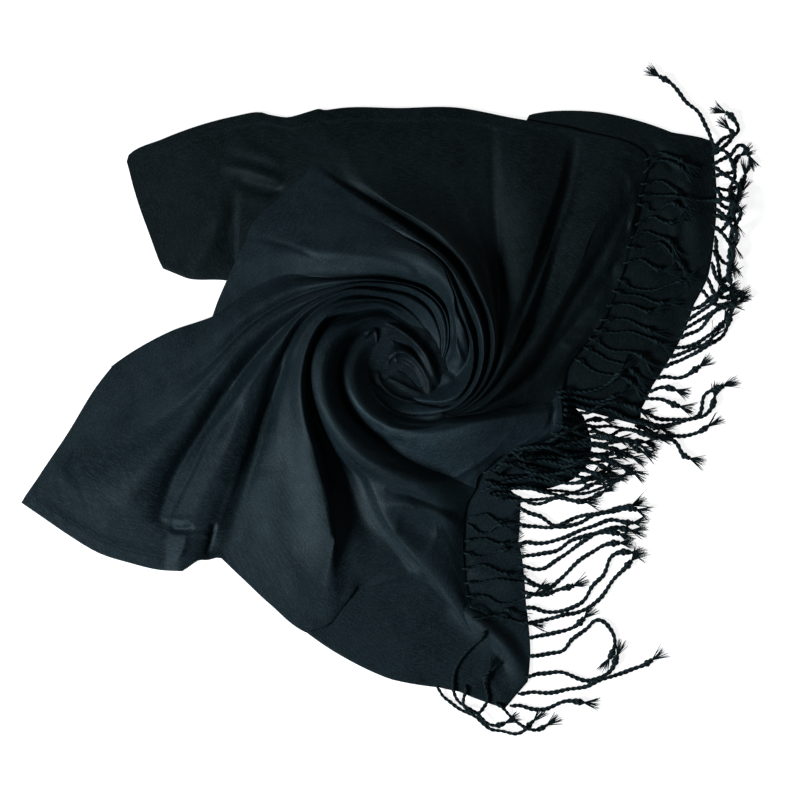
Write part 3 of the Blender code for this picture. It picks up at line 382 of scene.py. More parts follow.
def sheetObject(name, grid):
    # a thin shell with rounded edges from a grid of points in mm
    rows, cols = grid.shape[:2]
    top = grid.reshape(-1, 3)
    under = top - np.array([0, 0, clothWall])
    index = np.arange(rows * cols).reshape(rows, cols)
    border = np.concatenate([index[0, :-1], index[:-1, -1], index[-1, :0:-1], index[:0:-1, 0]])
    inner = np.concatenate([index[1, :-1], index[:-1, -2], index[-2, :0:-1], index[:0:-1, 1]])
    inner[0] = index[1, 1]
    away = top[border, :2] - top[inner, :2]
    away /= np.maximum(np.linalg.norm(away, axis=1, keepdims=True), 1e-6)
    rims = []
    for drop, reach in ((0.15, 0.36), (0.5, 0.5), (0.85, 0.36)):       # a half circle of three steps
        rim = top[border].copy()
        rim[:, :2] += away * clothWall * reach
        rim[:, 2] -= clothWall * drop
        rims.append(rim)
    verts = np.concatenate([top, under] + rims) * mm
    a, b = index[:-1, :-1].ravel(), index[:-1, 1:].ravel()
    c, d = index[1:, 1:].ravel(), index[1:, :-1].ravel()
    faces = [np.stack([a, b, c, d], 1), np.stack([a, d, c, b], 1) + rows * cols]
    rimLoops = [2 * rows * cols + n * len(border) + np.arange(len(border)) for n in range(len(rims))]
    loops = [border, *rimLoops, border + rows * cols]
    for upper, lower in zip(loops, loops[1:]):
        faces.append(np.stack([upper, lower, np.roll(lower, -1), np.roll(upper, -1)], 1))
    across = np.zeros((rows, cols))
    across[:, 1:] = np.cumsum(np.linalg.norm(np.diff(grid, axis=1), axis=2), axis=1)
    across -= across[:, cols // 2][:, None]
    along = np.zeros(rows)
    along[1:] = np.cumsum(np.linalg.norm(np.diff(grid[:, cols // 2], axis=0), axis=1))
    flatPlace = np.stack([across.ravel(), np.repeat(along, cols)], 1) * mm
    flatPlace = np.concatenate([flatPlace, flatPlace] + [flatPlace[border]] * len(rims))
    mesh = clothMesh(name, verts, np.concatenate(faces).tolist(), flatPlace)
    shell = bmesh.new()
    shell.from_mesh(mesh)
    bmesh.ops.recalc_face_normals(shell, faces=shell.faces)
    shell.to_mesh(mesh)
    shell.free()
    return addPiece(name, mesh)


# materials
def hexColor(text):
    # sRGB hex to linear
    parts = [int(text[i:i + 2], 16) / 255 for i in (0, 2, 4)]
    return tuple(c / 12.92 if c <= 0.04045 else ((c + 0.055) / 1.055) ** 2.4 for c in parts) + (1.0,)


def setNode(node, settings):
    for name, value in settings.items():
        if isinstance(name, int) or name in node.inputs:
            node.inputs[name].default_value = value
        else:
            setattr(node, name, value)


def addNode(tree, kind, settings={}, links={}):
    node = tree.nodes.new(kind)
    setNode(node, settings)
    for name, source in links.items():
        tree.links.new(source, node.inputs[name])
    return node


def newMaterial(name):
    material = bpy.data.materials.new(name)
    material.use_nodes = True
    return material, material.node_tree, material.node_tree.nodes["Principled BSDF"]


twill = {
    "face": {"dark": "060d10", "light": "0e181c", "slub": "1c2b31", "specular": 0.225, "sheen": 0.03},
    # the same cloth in darker tones and with less shine: painted shade on the sheets that catch less of the
    # sheen
    "reverse": {"dark": "060b0c", "light": "0d1416", "slub": "182224", "specular": 0.15, "sheen": 0.012},
    # a lighter, shinier copy of the face: painted sheen, where the floats lie across the light
    "across": {"dark": "091215", "light": "121e24", "slub": "23343b", "specular": 0.35, "sheen": 0.05},
    # a much darker copy of the face: painted shade in the pits of the eye
    "eyeShade": {"dark": "03080a", "light": "070d10", "slub": "111c22", "specular": 0.19, "sheen": 0.012},
    "roughness": 0.55, "sheenTint": "8ab0c0", "specularTint": "bbd5de", "bump": 0.34,
    # The real threads are 0.3 to 0.4 mm apart, too fine to show: the grain is
    # drawn at 1 mm, and the ribs, 2 pi ribMm apart, as a faint unevenness.
    "grainMm": 1.0, "ribMm": 0.8, "ribAngle": 63, "ribShare": 0.12, "bumpDepth": 0.6 * mm,
    "slubMm": 6.25, "slubThinness": 9.0, "cloudsPerMetre": 26.0,
}


def makeTwill(side):
    # Viscose twill with a satin face: it is smooth along the ribs, so folds carry a soft sheen
    # Besides the face, each finish is the face in darker or lighter tones: painted shade or painted sheen.
    tones = twill[side]
    material, tree, shader = newMaterial("satinTwill" + side.capitalize())
    place = addNode(tree, "ShaderNodeUVMap", {"uv_map": "cloth"})
    solid = addNode(tree, "ShaderNodeTexCoord")
    # broad, faint changes of tone, as dyed cloth has
    cloud = addNode(tree, "ShaderNodeTexNoise",
                    {"Scale": twill["cloudsPerMetre"], "Detail": 4.0, "Roughness": 0.62},
                    {"Vector": solid.outputs["Object"]})
    # threads that are a little thicker run across the cloth
    stretch = addNode(tree, "ShaderNodeMapping", {"Scale": (1.0, twill["slubThinness"], 1.0)},
                      {"Vector": place.outputs["UV"]})
    slub = addNode(tree, "ShaderNodeTexNoise", {"Scale": 1000 / twill["slubMm"], "Detail": 2.0},
                   {"Vector": stretch.outputs[0]})
    grain = addNode(tree, "ShaderNodeTexNoise", {"Scale": 1000 / twill["grainMm"], "Detail": 2.0},
                    {"Vector": solid.outputs["Object"]})
    patch = addNode(tree, "ShaderNodeMapRange", {"From Min": 0.36, "From Max": 0.64},
                    {"Value": cloud.outputs[0]})
    tone = addNode(tree, "ShaderNodeMix", {"data_type": "RGBA", 6: hexColor(tones["dark"]),
                                           7: hexColor(tones["light"])}, {0: patch.outputs[0]})
    speck = addNode(tree, "ShaderNodeMath", {"operation": "MULTIPLY"},
                    {0: slub.outputs[0], 1: grain.outputs[0]})
    fleck = addNode(tree, "ShaderNodeMapRange", {"From Min": 0.2, "From Max": 0.42, "To Max": 0.9},
                    {"Value": speck.outputs[0]})
    color = addNode(tree, "ShaderNodeMix", {"data_type": "RGBA", 7: hexColor(tones["slub"])},
                    {0: fleck.outputs[0], 6: tone.outputs[2]})
    tree.links.new(color.outputs[2], shader.inputs["Base Color"])
    turn = addNode(tree, "ShaderNodeMapping", {"Rotation": (0, 0, math.radians(twill["ribAngle"]))},
                   {"Vector": place.outputs["UV"]})
    ribs = addNode(tree, "ShaderNodeTexWave", {"Scale": 1000 / (twill["ribMm"] * 20), "Distortion": 2.5,
                                               "Detail": 2.0, "Detail Scale": 3.0},
                   {"Vector": turn.outputs[0]})
    weave = addNode(tree, "ShaderNodeMath", {"operation": "MULTIPLY_ADD", 1: twill["ribShare"]},
                    {0: ribs.outputs["Fac"], 2: grain.outputs[0]})
    bump = addNode(tree, "ShaderNodeBump", {"Strength": twill["bump"], "Distance": twill["bumpDepth"]},
                   {"Height": weave.outputs[0]})
    tree.links.new(bump.outputs[0], shader.inputs["Normal"])
    shine = addNode(tree, "ShaderNodeMapRange",
                    {"From Min": 0.3, "From Max": 0.7, "To Min": twill["roughness"] - 0.07,
                     "To Max": twill["roughness"] + 0.09}, {"Value": cloud.outputs[0]})
    tree.links.new(shine.outputs[0], shader.inputs["Roughness"])
    setNode(shader, {"Sheen Weight": tones["sheen"], "Sheen Roughness": 0.4,
                     "Sheen Tint": hexColor(twill["sheenTint"]), "IOR": 1.5,
                     "Specular IOR Level": tones["specular"],
                     "Specular Tint": hexColor(twill["specularTint"])})
    return material


# The fibre's pattern is drawn at 1 mm, coarser than real fibres, so that it shows.
yarn = {"dark": "070d0e", "light": "18272c", "roughness": 0.66, "specular": 0.2, "specularTint": "b2d3da",
        "sheen": 0.02, "sheenTint": "46646f", "fibreMm": 1.0, "bump": 0.4, "bumpDepth": 0.3 * mm}


def makeYarn():
    # Two-ply twisted tassel yarn: softer and more matt than the satin face
    material, tree, shader = newMaterial("twistedYarn")
    solid = addNode(tree, "ShaderNodeTexCoord")
    fibre = addNode(tree, "ShaderNodeTexNoise", {"Scale": 1000 / yarn["fibreMm"], "Detail": 2.0},
                    {"Vector": solid.outputs["Object"]})
    color = addNode(tree, "ShaderNodeMix", {"data_type": "RGBA", 6: hexColor(yarn["dark"]),
                                            7: hexColor(yarn["light"])}, {0: fibre.outputs[0]})
    bump = addNode(tree, "ShaderNodeBump", {"Strength": yarn["bump"], "Distance": yarn["bumpDepth"]},
                   {"Height": fibre.outputs[0]})
    tree.links.new(color.outputs[2], shader.inputs["Base Color"])
    tree.links.new(bump.outputs[0], shader.inputs["Normal"])
    setNode(shader, {"Roughness": yarn["roughness"], "Specular IOR Level": yarn["specular"],
                     "Specular Tint": hexColor(yarn["specularTint"]), "Sheen Weight": yarn["sheen"],
                     "Sheen Tint": hexColor(yarn["sheenTint"])})
    return material


finishes = {side: makeTwill(side) for side in ("face", "reverse", "across", "eyeShade")}
# The top panel and the upper under cloth get painted shade, the tongue painted sheen, and the eye patch a
# darker painted shade.
finishOf = {"topPanel": "reverse", "underEndUpper": "reverse", "tonguePanel": "across", "eyeTuft": "eyeShade"}
yarnMaterial = makeYarn()
print("materials ready")

# the folded sheets
sheetSettings = {
    "noseFlap": {"replaces": ("nose_flap",), "last": 9.0, "strips": 14,
                 "seams": ("first", "last"), "within": 120, "sharp": 0.5, "hems": (),
                 "folds": ("flapLeft", "flapBroad", "flapCrest", "eyePit", "rollInner", "grooveInner",
                           "rollMiddle", "flapRight")},
    "topPanel": {"replaces": ("back_panel", "top_panel", "right_fan"), "last": 40.0, "strips": 12,
                 "seams": ("last",), "within": 120, "sharp": 0.7, "hems": ((62, 143.8),),
                 "folds": ("backEdge", "backMiddle", "topSeam", "rollOuter", "topFlat", "topValley",
                           "fanCrestA", "fanGrooveA", "fanCrestB", "fanGrooveB", "fanCrestC",
                           "tongueUpper")},
    "tonguePanel": {"replaces": ("tongue",), "last": 9.0, "strips": 26,
                    "seams": ("last",), "within": 90, "sharp": 0.5, "hems": ((-60, -14),),
                    "folds": ("tongueUpper", "tongueCrest", "tongueLower")},
    "lowerPanel": {"replaces": ("lower_fan", "front_panel", "left_fan"), "last": 9.0, "strips": 12,
                   "seams": ("first", "last"), "within": 130, "sharp": 0.85, "calm": 3,
                   "hems": ((-159.5, -137.5),),
                   "folds": ("tongueLower", "lowerCrest", "lowerGroove", "longCrest", "longFoot", "lowFlat",
                             "hollow", "broadCrest", "broadFlat", "pleatSeam", "pleatCrest", "pleatGroove",
                             "leftCrest", "leftCorner", "leftGroove", "leftRoll", "leftEdge")},
}
# The thin rolls that wind round below the eye, over more than one sheet.
eyeArcs = (
    (2.4, 1.6, 1.2, (376, 378), (384, 390), (398, 400), (416, 406), (434, 406), (454, 400), (472, 386),
     (484, 366)),
    (-2.0, 1.0, 1.2, (376, 385), (386, 397), (402, 406), (420, 411), (438, 411), (458, 404), (478, 390)),
    (2.4, 1.6, 1.2, (374, 390), (386, 403), (402, 412), (422, 416), (444, 414), (466, 404), (486, 388),
     (498, 368)),
    (-2.0, 1.0, 1.2, (374, 399), (388, 410), (404, 418), (424, 421), (446, 418), (470, 408)),
    (1.8, 1.5, 1.5, (392, 418), (412, 423), (436, 423), (460, 416), (488, 402), (508, 384)),
)
# Creases, listed one by one: height (a trough is negative), half width on the left
# and on the right of its run, and its points in px.
creases = {
    "noseFlap": (
        (4.0, 2.2, 3.0, (450, 300), (450, 322), (455, 344), (463, 364)),
        (2.0, 1.6, 1.6, (458, 322), (470, 334), (474, 342)),
        (-3.0, 3.0, 3.0, (438, 366), (452, 372), (460, 384)),
        (-1.6, 3, 3, (414, 268), (424, 284), (436, 298)),
        (-0.8, 1.6, 1.6, (248, 236), (290, 247), (330, 265), (345, 270)),
    ),
    "topPanel": (
        (0.8, 1.6, 2.5, (513, 120), (540, 126), (580, 131), (612, 136)),
        (3.4, 4.4, 4.0, (224, 166), (238, 168), (256, 173), (272, 179), (282, 184)),
        (-4.2, 3.0, 4.2, (234, 178), (250, 185), (268, 189), (282, 191)),
        (1.8, 5, 5, (230, 145), (256, 153), (284, 164)),
        (-3.2, 1.3, 9, (238, 184), (236, 205), (235, 235), (235, 266)),
        (2.4, 5, 6, (192, 274), (208, 246), (228, 204)),
        (-1.4, 2, 3, (160, 262), (178, 262), (203, 238), (216, 224)),
        (-2.6, 2.4, 3.4, (493, 128), (495, 200), (499, 250), (502, 300)),
        (-5.2, 5.5, 1.8, (508, 346), (528, 298), (547, 245), (566, 190), (577, 138)),
        (1.6, 1.6, 3.0, (502, 338), (520, 296), (538, 243), (556, 188), (567, 138)),
        (-3.4, 4.5, 3.5, (530, 380), (565, 312), (597, 262), (624, 212)),
        (1.2, 2.2, 2.2, (622, 160), (634, 200), (628, 240)),
        (-1.2, 2.2, 2.2, (640, 170), (622, 190), (634, 214)),
        (1.3, 2.0, 2.0, (596, 300), (608, 316), (594, 330)),
        (-1.2, 2.4, 2.4, (630, 252), (612, 270), (616, 290)),
        (1.6, 2.4, 2.0, (642, 206), (630, 222), (636, 236)),
        (-1.5, 2.0, 2.2, (622, 226), (634, 244), (628, 258)),
        (1.8, 2.6, 2.2, (604, 258), (622, 268), (626, 284)),
        (-1.6, 2.0, 2.0, (590, 276), (606, 286), (622, 296)),
        (1.7, 2.6, 2.0, (578, 306), (596, 312), (610, 326)),
        (-1.5, 2.2, 2.0, (572, 326), (590, 330), (600, 344)),
        (1.4, 2.4, 2.0, (560, 342), (576, 350), (588, 364)),
        (1.2, 1.8, 1.8, (646, 150), (634, 154), (620, 150)),
    ),
    "tonguePanel": (
        (4.0, 4.0, 13.0, (388, 428), (420, 434), (460, 428), (505, 414), (546, 404)),
        (-1.6, 2.0, 5.0, (470, 470), (500, 456), (530, 448)),
        (0.9, 1.4, 1.4, (498, 404), (526, 398), (550, 394)),
        (0.9, 1.4, 1.4, (504, 411), (530, 407), (550, 404)),
        (-2.2, 2.2, 2.2, (551, 396), (552, 412), (548, 430)),
        (0.9, 1.3, 1.3, (476, 450), (490, 446), (514, 446), (536, 436)),
        (-0.9, 1.2, 1.2, (480, 456), (498, 452), (520, 450)),
        (1.0, 1.6, 1.6, (470, 452), (474, 468), (482, 486)),
        (-1.4, 4, 4, (410, 446), (430, 462), (452, 480)),
    ),
    "lowerPanel": (
        (-5.4, 2.6, 5.0, (284, 328), (250, 362), (226, 393), (200, 434), (176, 474), (158, 524)),
        (2.6, 3.0, 1.8, (266, 362), (236, 400), (209, 436), (186, 482), (166, 522)),
        (-6.4, 5.0, 2.2, (292, 350), (273, 396), (251, 459), (232, 522), (219, 554)),
        (1.3, 1.8, 3.2, (281, 358), (263, 400), (241, 464), (222, 520), (206, 552)),
        (-4.5, 15, 15, (66, 474), (150, 424), (236, 388)),
        (0.8, 1.6, 2.0, (164, 518), (178, 519), (194, 518)),
        (-2.8, 2.0, 2.4, (170, 528), (184, 529), (194, 527)),
        (0.9, 1.8, 1.8, (187, 532), (184, 548), (176, 560)),
        (-3.4, 2.2, 2.0, (215, 522), (211, 540), (207, 554)),
        (1.0, 1.5, 1.5, (192, 536), (202, 534), (212, 537)),
        (2.0, 10, 10, (120, 505), (170, 440), (214, 390)),
        (4.4, 5, 11, (346, 590), (364, 592), (392, 580), (424, 572)),
        (-3.4, 9, 9, (398, 526), (414, 532), (432, 542)),
        (3.0, 4, 5, (382, 505), (402, 503), (430, 510), (462, 524)),
        (-2.6, 3.0, 3.0, (386, 489), (410, 494), (436, 505), (460, 518)),
        (1.2, 12, 12, (262, 470), (280, 540), (300, 600)),
    ),
}
unevenness = {"size": 34.0, "height": 0.6, "fineSize": 10.5, "fineHeight": 0.24}
restHeight = 2.2           # the top of a sheet where its edge lies
leastGap = 1.0             # what stays free below a sheet
flatEdge = {"within": 2.0, "share": 0.25}      # creases reach a sheet's lowest parts with this share only

surfaces = {}
sheets = {}
for seed, (name, setting) in enumerate(sheetSettings.items()):
    grid = foldedGrid(name, setting)
    relax(grid, swirl["evenRounds"])
    relax(grid[:swirl["outerRows"]], setting.get("calm", 0), True)
    plan = grid[:, :, :2].reshape(-1, 2)
    lift = strokeLift(plan, creases[name] + (eyeArcs if name in ("tonguePanel", "topPanel") else ()))
    lift += unevenness["height"] * softNoise(plan, unevenness["size"], seed)
    lift += unevenness["fineHeight"] * softNoise(plan, unevenness["fineSize"], seed + 40)
    depth = np.clip((grid[:, :, 2] - restHeight) / flatEdge["within"], 0, 1)
    grid[:, :, 2] += lift.reshape(grid.shape[:2]) * (flatEdge["share"] + (1 - flatEdge["share"]) * depth)
    grid[:, :, 2] = np.maximum(grid[:, :, 2], clothWall + leastGap)
    for side in setting["seams"]:
        grid = tuckColumn(grid, side, setting["within"])
    surfaces[name] = grid
    sheets[name] = sheetObject(name, grid)
print("folded sheets", [len(s.data.polygons) for s in sheets.values()])

# cloths that lie under the swirl
# Each: angle, outer and inner distance; then its ridges and creases.
underCloths = {
    "underEndUpper": ((63.2, 199, 170), (59.9, 208, 176), (51.9, 227.7, 184), (45.6, 241.8, 196),
                      (40.6, 253, 200), (37.2, 266.7, 190), (35.6, 272, 184), (32.5, 263.8, 174),
                      (26.8, 250.8, 158), (21.6, 238.5, 144), (15.5, 225.7, 128), (11.2, 211.4, 119),
                      (6, 201.2, 106), (0.4, 189.4, 100), (-5.3, 178.6, 98), (-11.5, 172.7, 98),
                      (-15, 175, 100)),
    "underEndMiddle": ((-13, 118, 92), (-17, 134, 92), (-24, 147, 92), (-30, 150, 92), (-35, 147, 92),
                       (-41, 138, 92), (-46, 128, 90), (-50, 118, 88), (-54, 108, 86)),
    "underEndLower": ((-50.4, 130, 121), (-51.4, 133, 114), (-53, 137, 106), (-55, 143.5, 94),
                      (-57.6, 151.8, 84), (-59.4, 165.6, 84), (-63.2, 191.9, 90), (-66.5, 226, 98),
                      (-68.9, 245.5, 98), (-71.7, 252.5, 98), (-73.9, 259, 98), (-76, 253, 98),
                      (-80.6, 240, 100), (-84, 235, 100), (-92.7, 228, 100), (-100.5, 218, 105),
                      (-108, 209, 110), (-116, 200, 120)),
}
underNodes = {"underEndUpper": "under_end_upper", "underEndMiddle": "folded_layers",
              "underEndLower": "under_end_lower"}
underStrokes = {
    "underEndUpper": ((2.6, 8, 8, (676, 140), (690, 190), (704, 272)), (1.8, 6, 6, (645, 326), (677, 320)),
                      (-1.2, 2.5, 2.5, (650, 140), (672, 168), (690, 176)),
                      (1.4, 4, 4, (640, 350), (655, 392)),
                      (1.3, 3, 3, (664, 206), (676, 226), (672, 248)),
                      (-1.1, 2.5, 2.5, (652, 232), (664, 252), (680, 262)),
                      (1.5, 4, 3, (646, 276), (664, 286), (684, 284)),
                      (1.3, 3, 3, (616, 350), (632, 362), (650, 362)),
                      (-1.2, 3, 3, (622, 372), (640, 380), (650, 400))),
    "underEndMiddle": ((1.6, 5, 5, (560, 420), (600, 432)), (1.6, 6, 5, (530, 470), (590, 468))),
    "underEndLower": ((7.0, 5, 8, (455, 600), (480, 622), (503, 642), (522, 668), (530, 690)),
                      (-1.5, 4, 4, (484, 634), (497, 652), (508, 676)),
                      (1.6, 8, 8, (469, 570), (520, 578)),
                      (1.4, 4, 3, (470, 690), (486, 672), (502, 664)),
                      (1.2, 3, 3, (484, 676), (498, 690), (510, 704))),
}
under = {"rows": 50, "columns": 90, "waveSize": 30.0, "wave": 0.5, "edgeShare": 0.25}
for seed, (name, edge) in enumerate(underCloths.items()):
    stations = np.linspace(0, 1, len(edge))
    angles, outer, inner = (np.interp(np.linspace(0, 1, under["columns"]), stations, v) for v in zip(*edge))
    share = np.linspace(0, 1, under["rows"])[:, None]
    radius = outer + (inner - outer) * share
    turn = np.radians(angles)[None, :]
    grid = np.stack([radius * np.cos(turn), radius * np.sin(turn), np.full_like(radius, restHeight)], axis=2)
    plan = grid[:, :, :2].reshape(-1, 2)
    lift = strokeLift(plan, underStrokes[name])
    lift += under["wave"] * np.abs(softNoise(plan, under["waveSize"], seed + 11))
    calm = np.clip(4 * share * (1 - share) + under["edgeShare"], 0, 1)      # flatter at the edges
    grid[:, :, 2] += lift.reshape(grid.shape[:2]) * calm
    surfaces[name] = grid
    sheets[name] = sheetObject(name, grid)
print("cloths below")

# the layers below
# The outline of the stack: angle in degrees and distance from the eye.
hiddenEdge = ((0, 92), (10, 104), (20, 124), (35, 152), (45, 165), (60, 158), (75, 152), (90, 146),
              (104, 136), (112, 109), (135, 108), (152, 116), (160, 136), (164.5, 141.5), (168, 142),
              (174, 151), (181, 162), (191, 184), (200, 214), (210, 198), (222, 160), (232, 160),
              (250, 172), (262, 184), (275, 178), (283, 146), (290, 118), (299, 112), (306, 104), (314, 90),
              (320, 88), (345, 88))
layers = {
    "corners": 240, "ripple": 0.012, "waves": 7, "drift": 3,       # its outline is a little uneven
    # its wall from the floor up, as shares of the outline and heights: one rounded layer, then the next
    "profile": ((0.965, 0.0), (0.99, 0.12), (1.0, 0.42), (0.99, 0.75), (0.972, 0.85), (0.978, 0.95),
                (0.985, 1.2), (0.975, 1.5), (0.955, 1.7), (0.7, 1.75), (0.6, 2.6), (0.5, 4.6), (0.3, 5.3)),
}


def hiddenLayers():
    # rounded layers of cloth stacked flat below the swirl
    angles, distances = np.array(hiddenEdge + ((360, hiddenEdge[0][1]),), float).T
    corners = layers["corners"]
    degrees = np.linspace(0, 360, corners, endpoint=False)
    drift = np.sin(np.radians(degrees * layers["drift"]))
    ripple = layers["ripple"] * np.abs(np.sin(np.radians(degrees * layers["waves"]) + drift))
    reach = np.interp(degrees, angles, distances) * (1 - ripple)
    turn = np.radians(degrees)
    rings = [np.stack([reach * s * np.cos(turn), reach * s * np.sin(turn), np.full_like(reach, z)], 1)
             for s, z in layers["profile"]]
    verts = np.concatenate(rings) * mm
    loop = np.arange(corners)
    faces = []
    for base in range(0, len(verts) - corners, corners):
        a, b = loop + base, np.roll(loop, -1) + base
        faces += np.stack([a, b, b + corners, a + corners], 1).tolist()
    faces += [loop[::-1].tolist(), (loop + len(verts) - corners).tolist()]
    return addPiece("hiddenLayers", clothMesh("hiddenLayers", verts, faces, verts[:, :2]))


sheets["hiddenLayers"] = hiddenLayers()
print("layers below")

# the eye of the swirl
eye = {"radius": 47.0, "height": 5.8, "rim": 4.8, "steps": 124, "share": 0.92,
       "rimPower": 10, "creasePower": 12, "waveSize": 8.0, "wave": 0.7, "lowest": 2.4}
eyeStrokes = (
    (5.5, 3.0, 2.6, (350, 332), (362, 323), (376, 320), (392, 326), (410, 338), (425, 354), (433, 370),
     (437, 386)),
    (-3.0, 1.8, 1.8, (380, 333), (396, 338), (410, 349), (421, 362), (430, 378)),
    (4.0, 1.8, 2.2, (375, 327), (366, 338), (360, 350), (356, 362)),
    (3.4, 1.6, 2.0, (377, 328), (362, 333), (346, 338)),
    (2.6, 1.2, 2.0, (375, 326), (377, 336), (377, 348)),
    (-2.6, 1.3, 1.3, (367, 341), (362, 352), (361, 362)),
    (6.5, 3.4, 4.4, (346, 338), (350, 358), (354, 378), (360, 398), (372, 420)),
    (-5.0, 8.0, 8.0, (366, 352), (380, 354), (394, 352)),
    (5.4, 4.2, 2.6, (386, 366), (391, 356), (401, 352), (413, 357), (422, 367), (428, 380), (430, 396)),
    (-4.0, 2.0, 2.0, (381, 380), (388, 371), (399, 366), (411, 373), (421, 388)),
    (2.8, 1.8, 1.5, (378, 370), (381, 384), (394, 396), (412, 402), (430, 404), (450, 401)),
    (-2.0, 1.2, 1.2, (378, 386), (390, 399), (410, 407), (430, 408), (448, 406)),
    (2.8, 1.6, 1.4, (376, 388), (386, 402), (404, 411), (426, 413), (450, 409)),
    (2.4, 1.6, 1.6, (388, 378), (400, 384), (414, 391), (426, 396)),
)


def eyeGrid():
    # a round patch on a grid of squares, so that nothing meets in a point
    line = np.linspace(-1, 1, eye["steps"])
    u, v = np.meshgrid(line, line[::-1])
    grid = np.stack([u * np.sqrt(1 - v * v / 2), v * np.sqrt(1 - u * u / 2), np.zeros_like(u)], axis=2)
    grid *= eye["radius"]
    plan = grid[:, :, :2].reshape(-1, 2)
    away = np.linalg.norm(plan, axis=1) / eye["radius"]
    height = eye["height"] - eye["rim"] * away ** eye["rimPower"]
    height += eye["share"] * strokeLift(plan, eyeStrokes) * (1 - away ** eye["creasePower"])
    height += eye["wave"] * softNoise(plan, eye["waveSize"], 5)
    grid[:, :, 2] = np.maximum(height, eye["lowest"]).reshape(u.shape)
    return grid


sheets["eyeTuft"] = sheetObject("eyeTuft", eyeGrid())
print("eye")

# fringe: the tassels are laid over a map of the heights of what is already there
heightMap = {"cell": 1.0, "low": -300.0, "cells": 640}
laidHeight = np.zeros((heightMap["cells"], heightMap["cells"]))
neighbours = [(dx, dy) for dx in (-1, 0, 1) for dy in (-1, 0, 1)]


def mapIndex(plan):
    return np.round((plan - heightMap["low"]) / heightMap["cell"]).astype(int).T


def layOnMap(points):
    np.maximum.at(laidHeight, tuple(mapIndex(points[:, :2])), points[:, 2])


def denser(grid, axis):
    # a row or column more, halfway between each two
    grid = np.moveaxis(grid, axis, 0)
    dense = np.empty((2 * len(grid) - 1, *grid.shape[1:]))
    dense[::2] = grid
    dense[1::2] = 0.5 * (grid[:-1] + grid[1:])
    return np.moveaxis(dense, 0, axis)


for grid in surfaces.values():
    layOnMap(denser(denser(grid, 0), 1).reshape(-1, 3))

tassel = {
    "plies": 2, "ply": 1.0, "spread": 0.4, "pitch": 8.2, "step": 1.25, "sides": 8,     # of the twisted cord
    "courseStep": 0.9,
    "rootPx": 6, "rootReach": 3, "rootSink": 0.6, "rootLowest": 1.3,       # it starts inside the hem
    "rootSteps": 4, "rootRadii": (0.7, 0.8, 0.9),
    "wander": 3.8, "wanderLength": 17.0, "straight": 14,       # how far it strays, but not near its root
    "thickness": 0.94, "swell": 0.08, "swellStep": 0.21,
    "knot": 0.9, "knotAt": 6, "knotLength": 2.6, "cut": 7,     # in steps from the end
    "clearance": 0.1, "bridge": 4, "smooth": 11,       # it bridges small gaps and comes down gently
    "halfWidth": 0.9, "top": 1.4, "shoulder": 1.1,     # what the next one has to pass over
}
tuft = {"length": 12.0, "lengths": (0.65, 1.1), "fibres": 30, "fibre": 0.32, "spread": 0.46,
        "lift": (-0.12, 0.2), "bend": 0.3, "sag": 0.45, "lowest": 0.5, "jitter": 0.15,
        "taper": (1.0, 1.0, 0.95, 0.85, 0.7, 0.4), "step": 2.4, "sides": 5}
# Those on bare ground fluff up; those that lie on the cloth are pressed thinner.
tasselFluff = {"fringe_upper_outer": 1.3, "fringe_right": 1.3, "fringe_upper_inner": 0.74,
               "fringe_tongue": 1.15, "fringe_tongue_lower": 1.15, "fringe_lower_outer": 1.35,
               "fringe_lower_inner": 0.74, "fringe_bottom": 1.1}
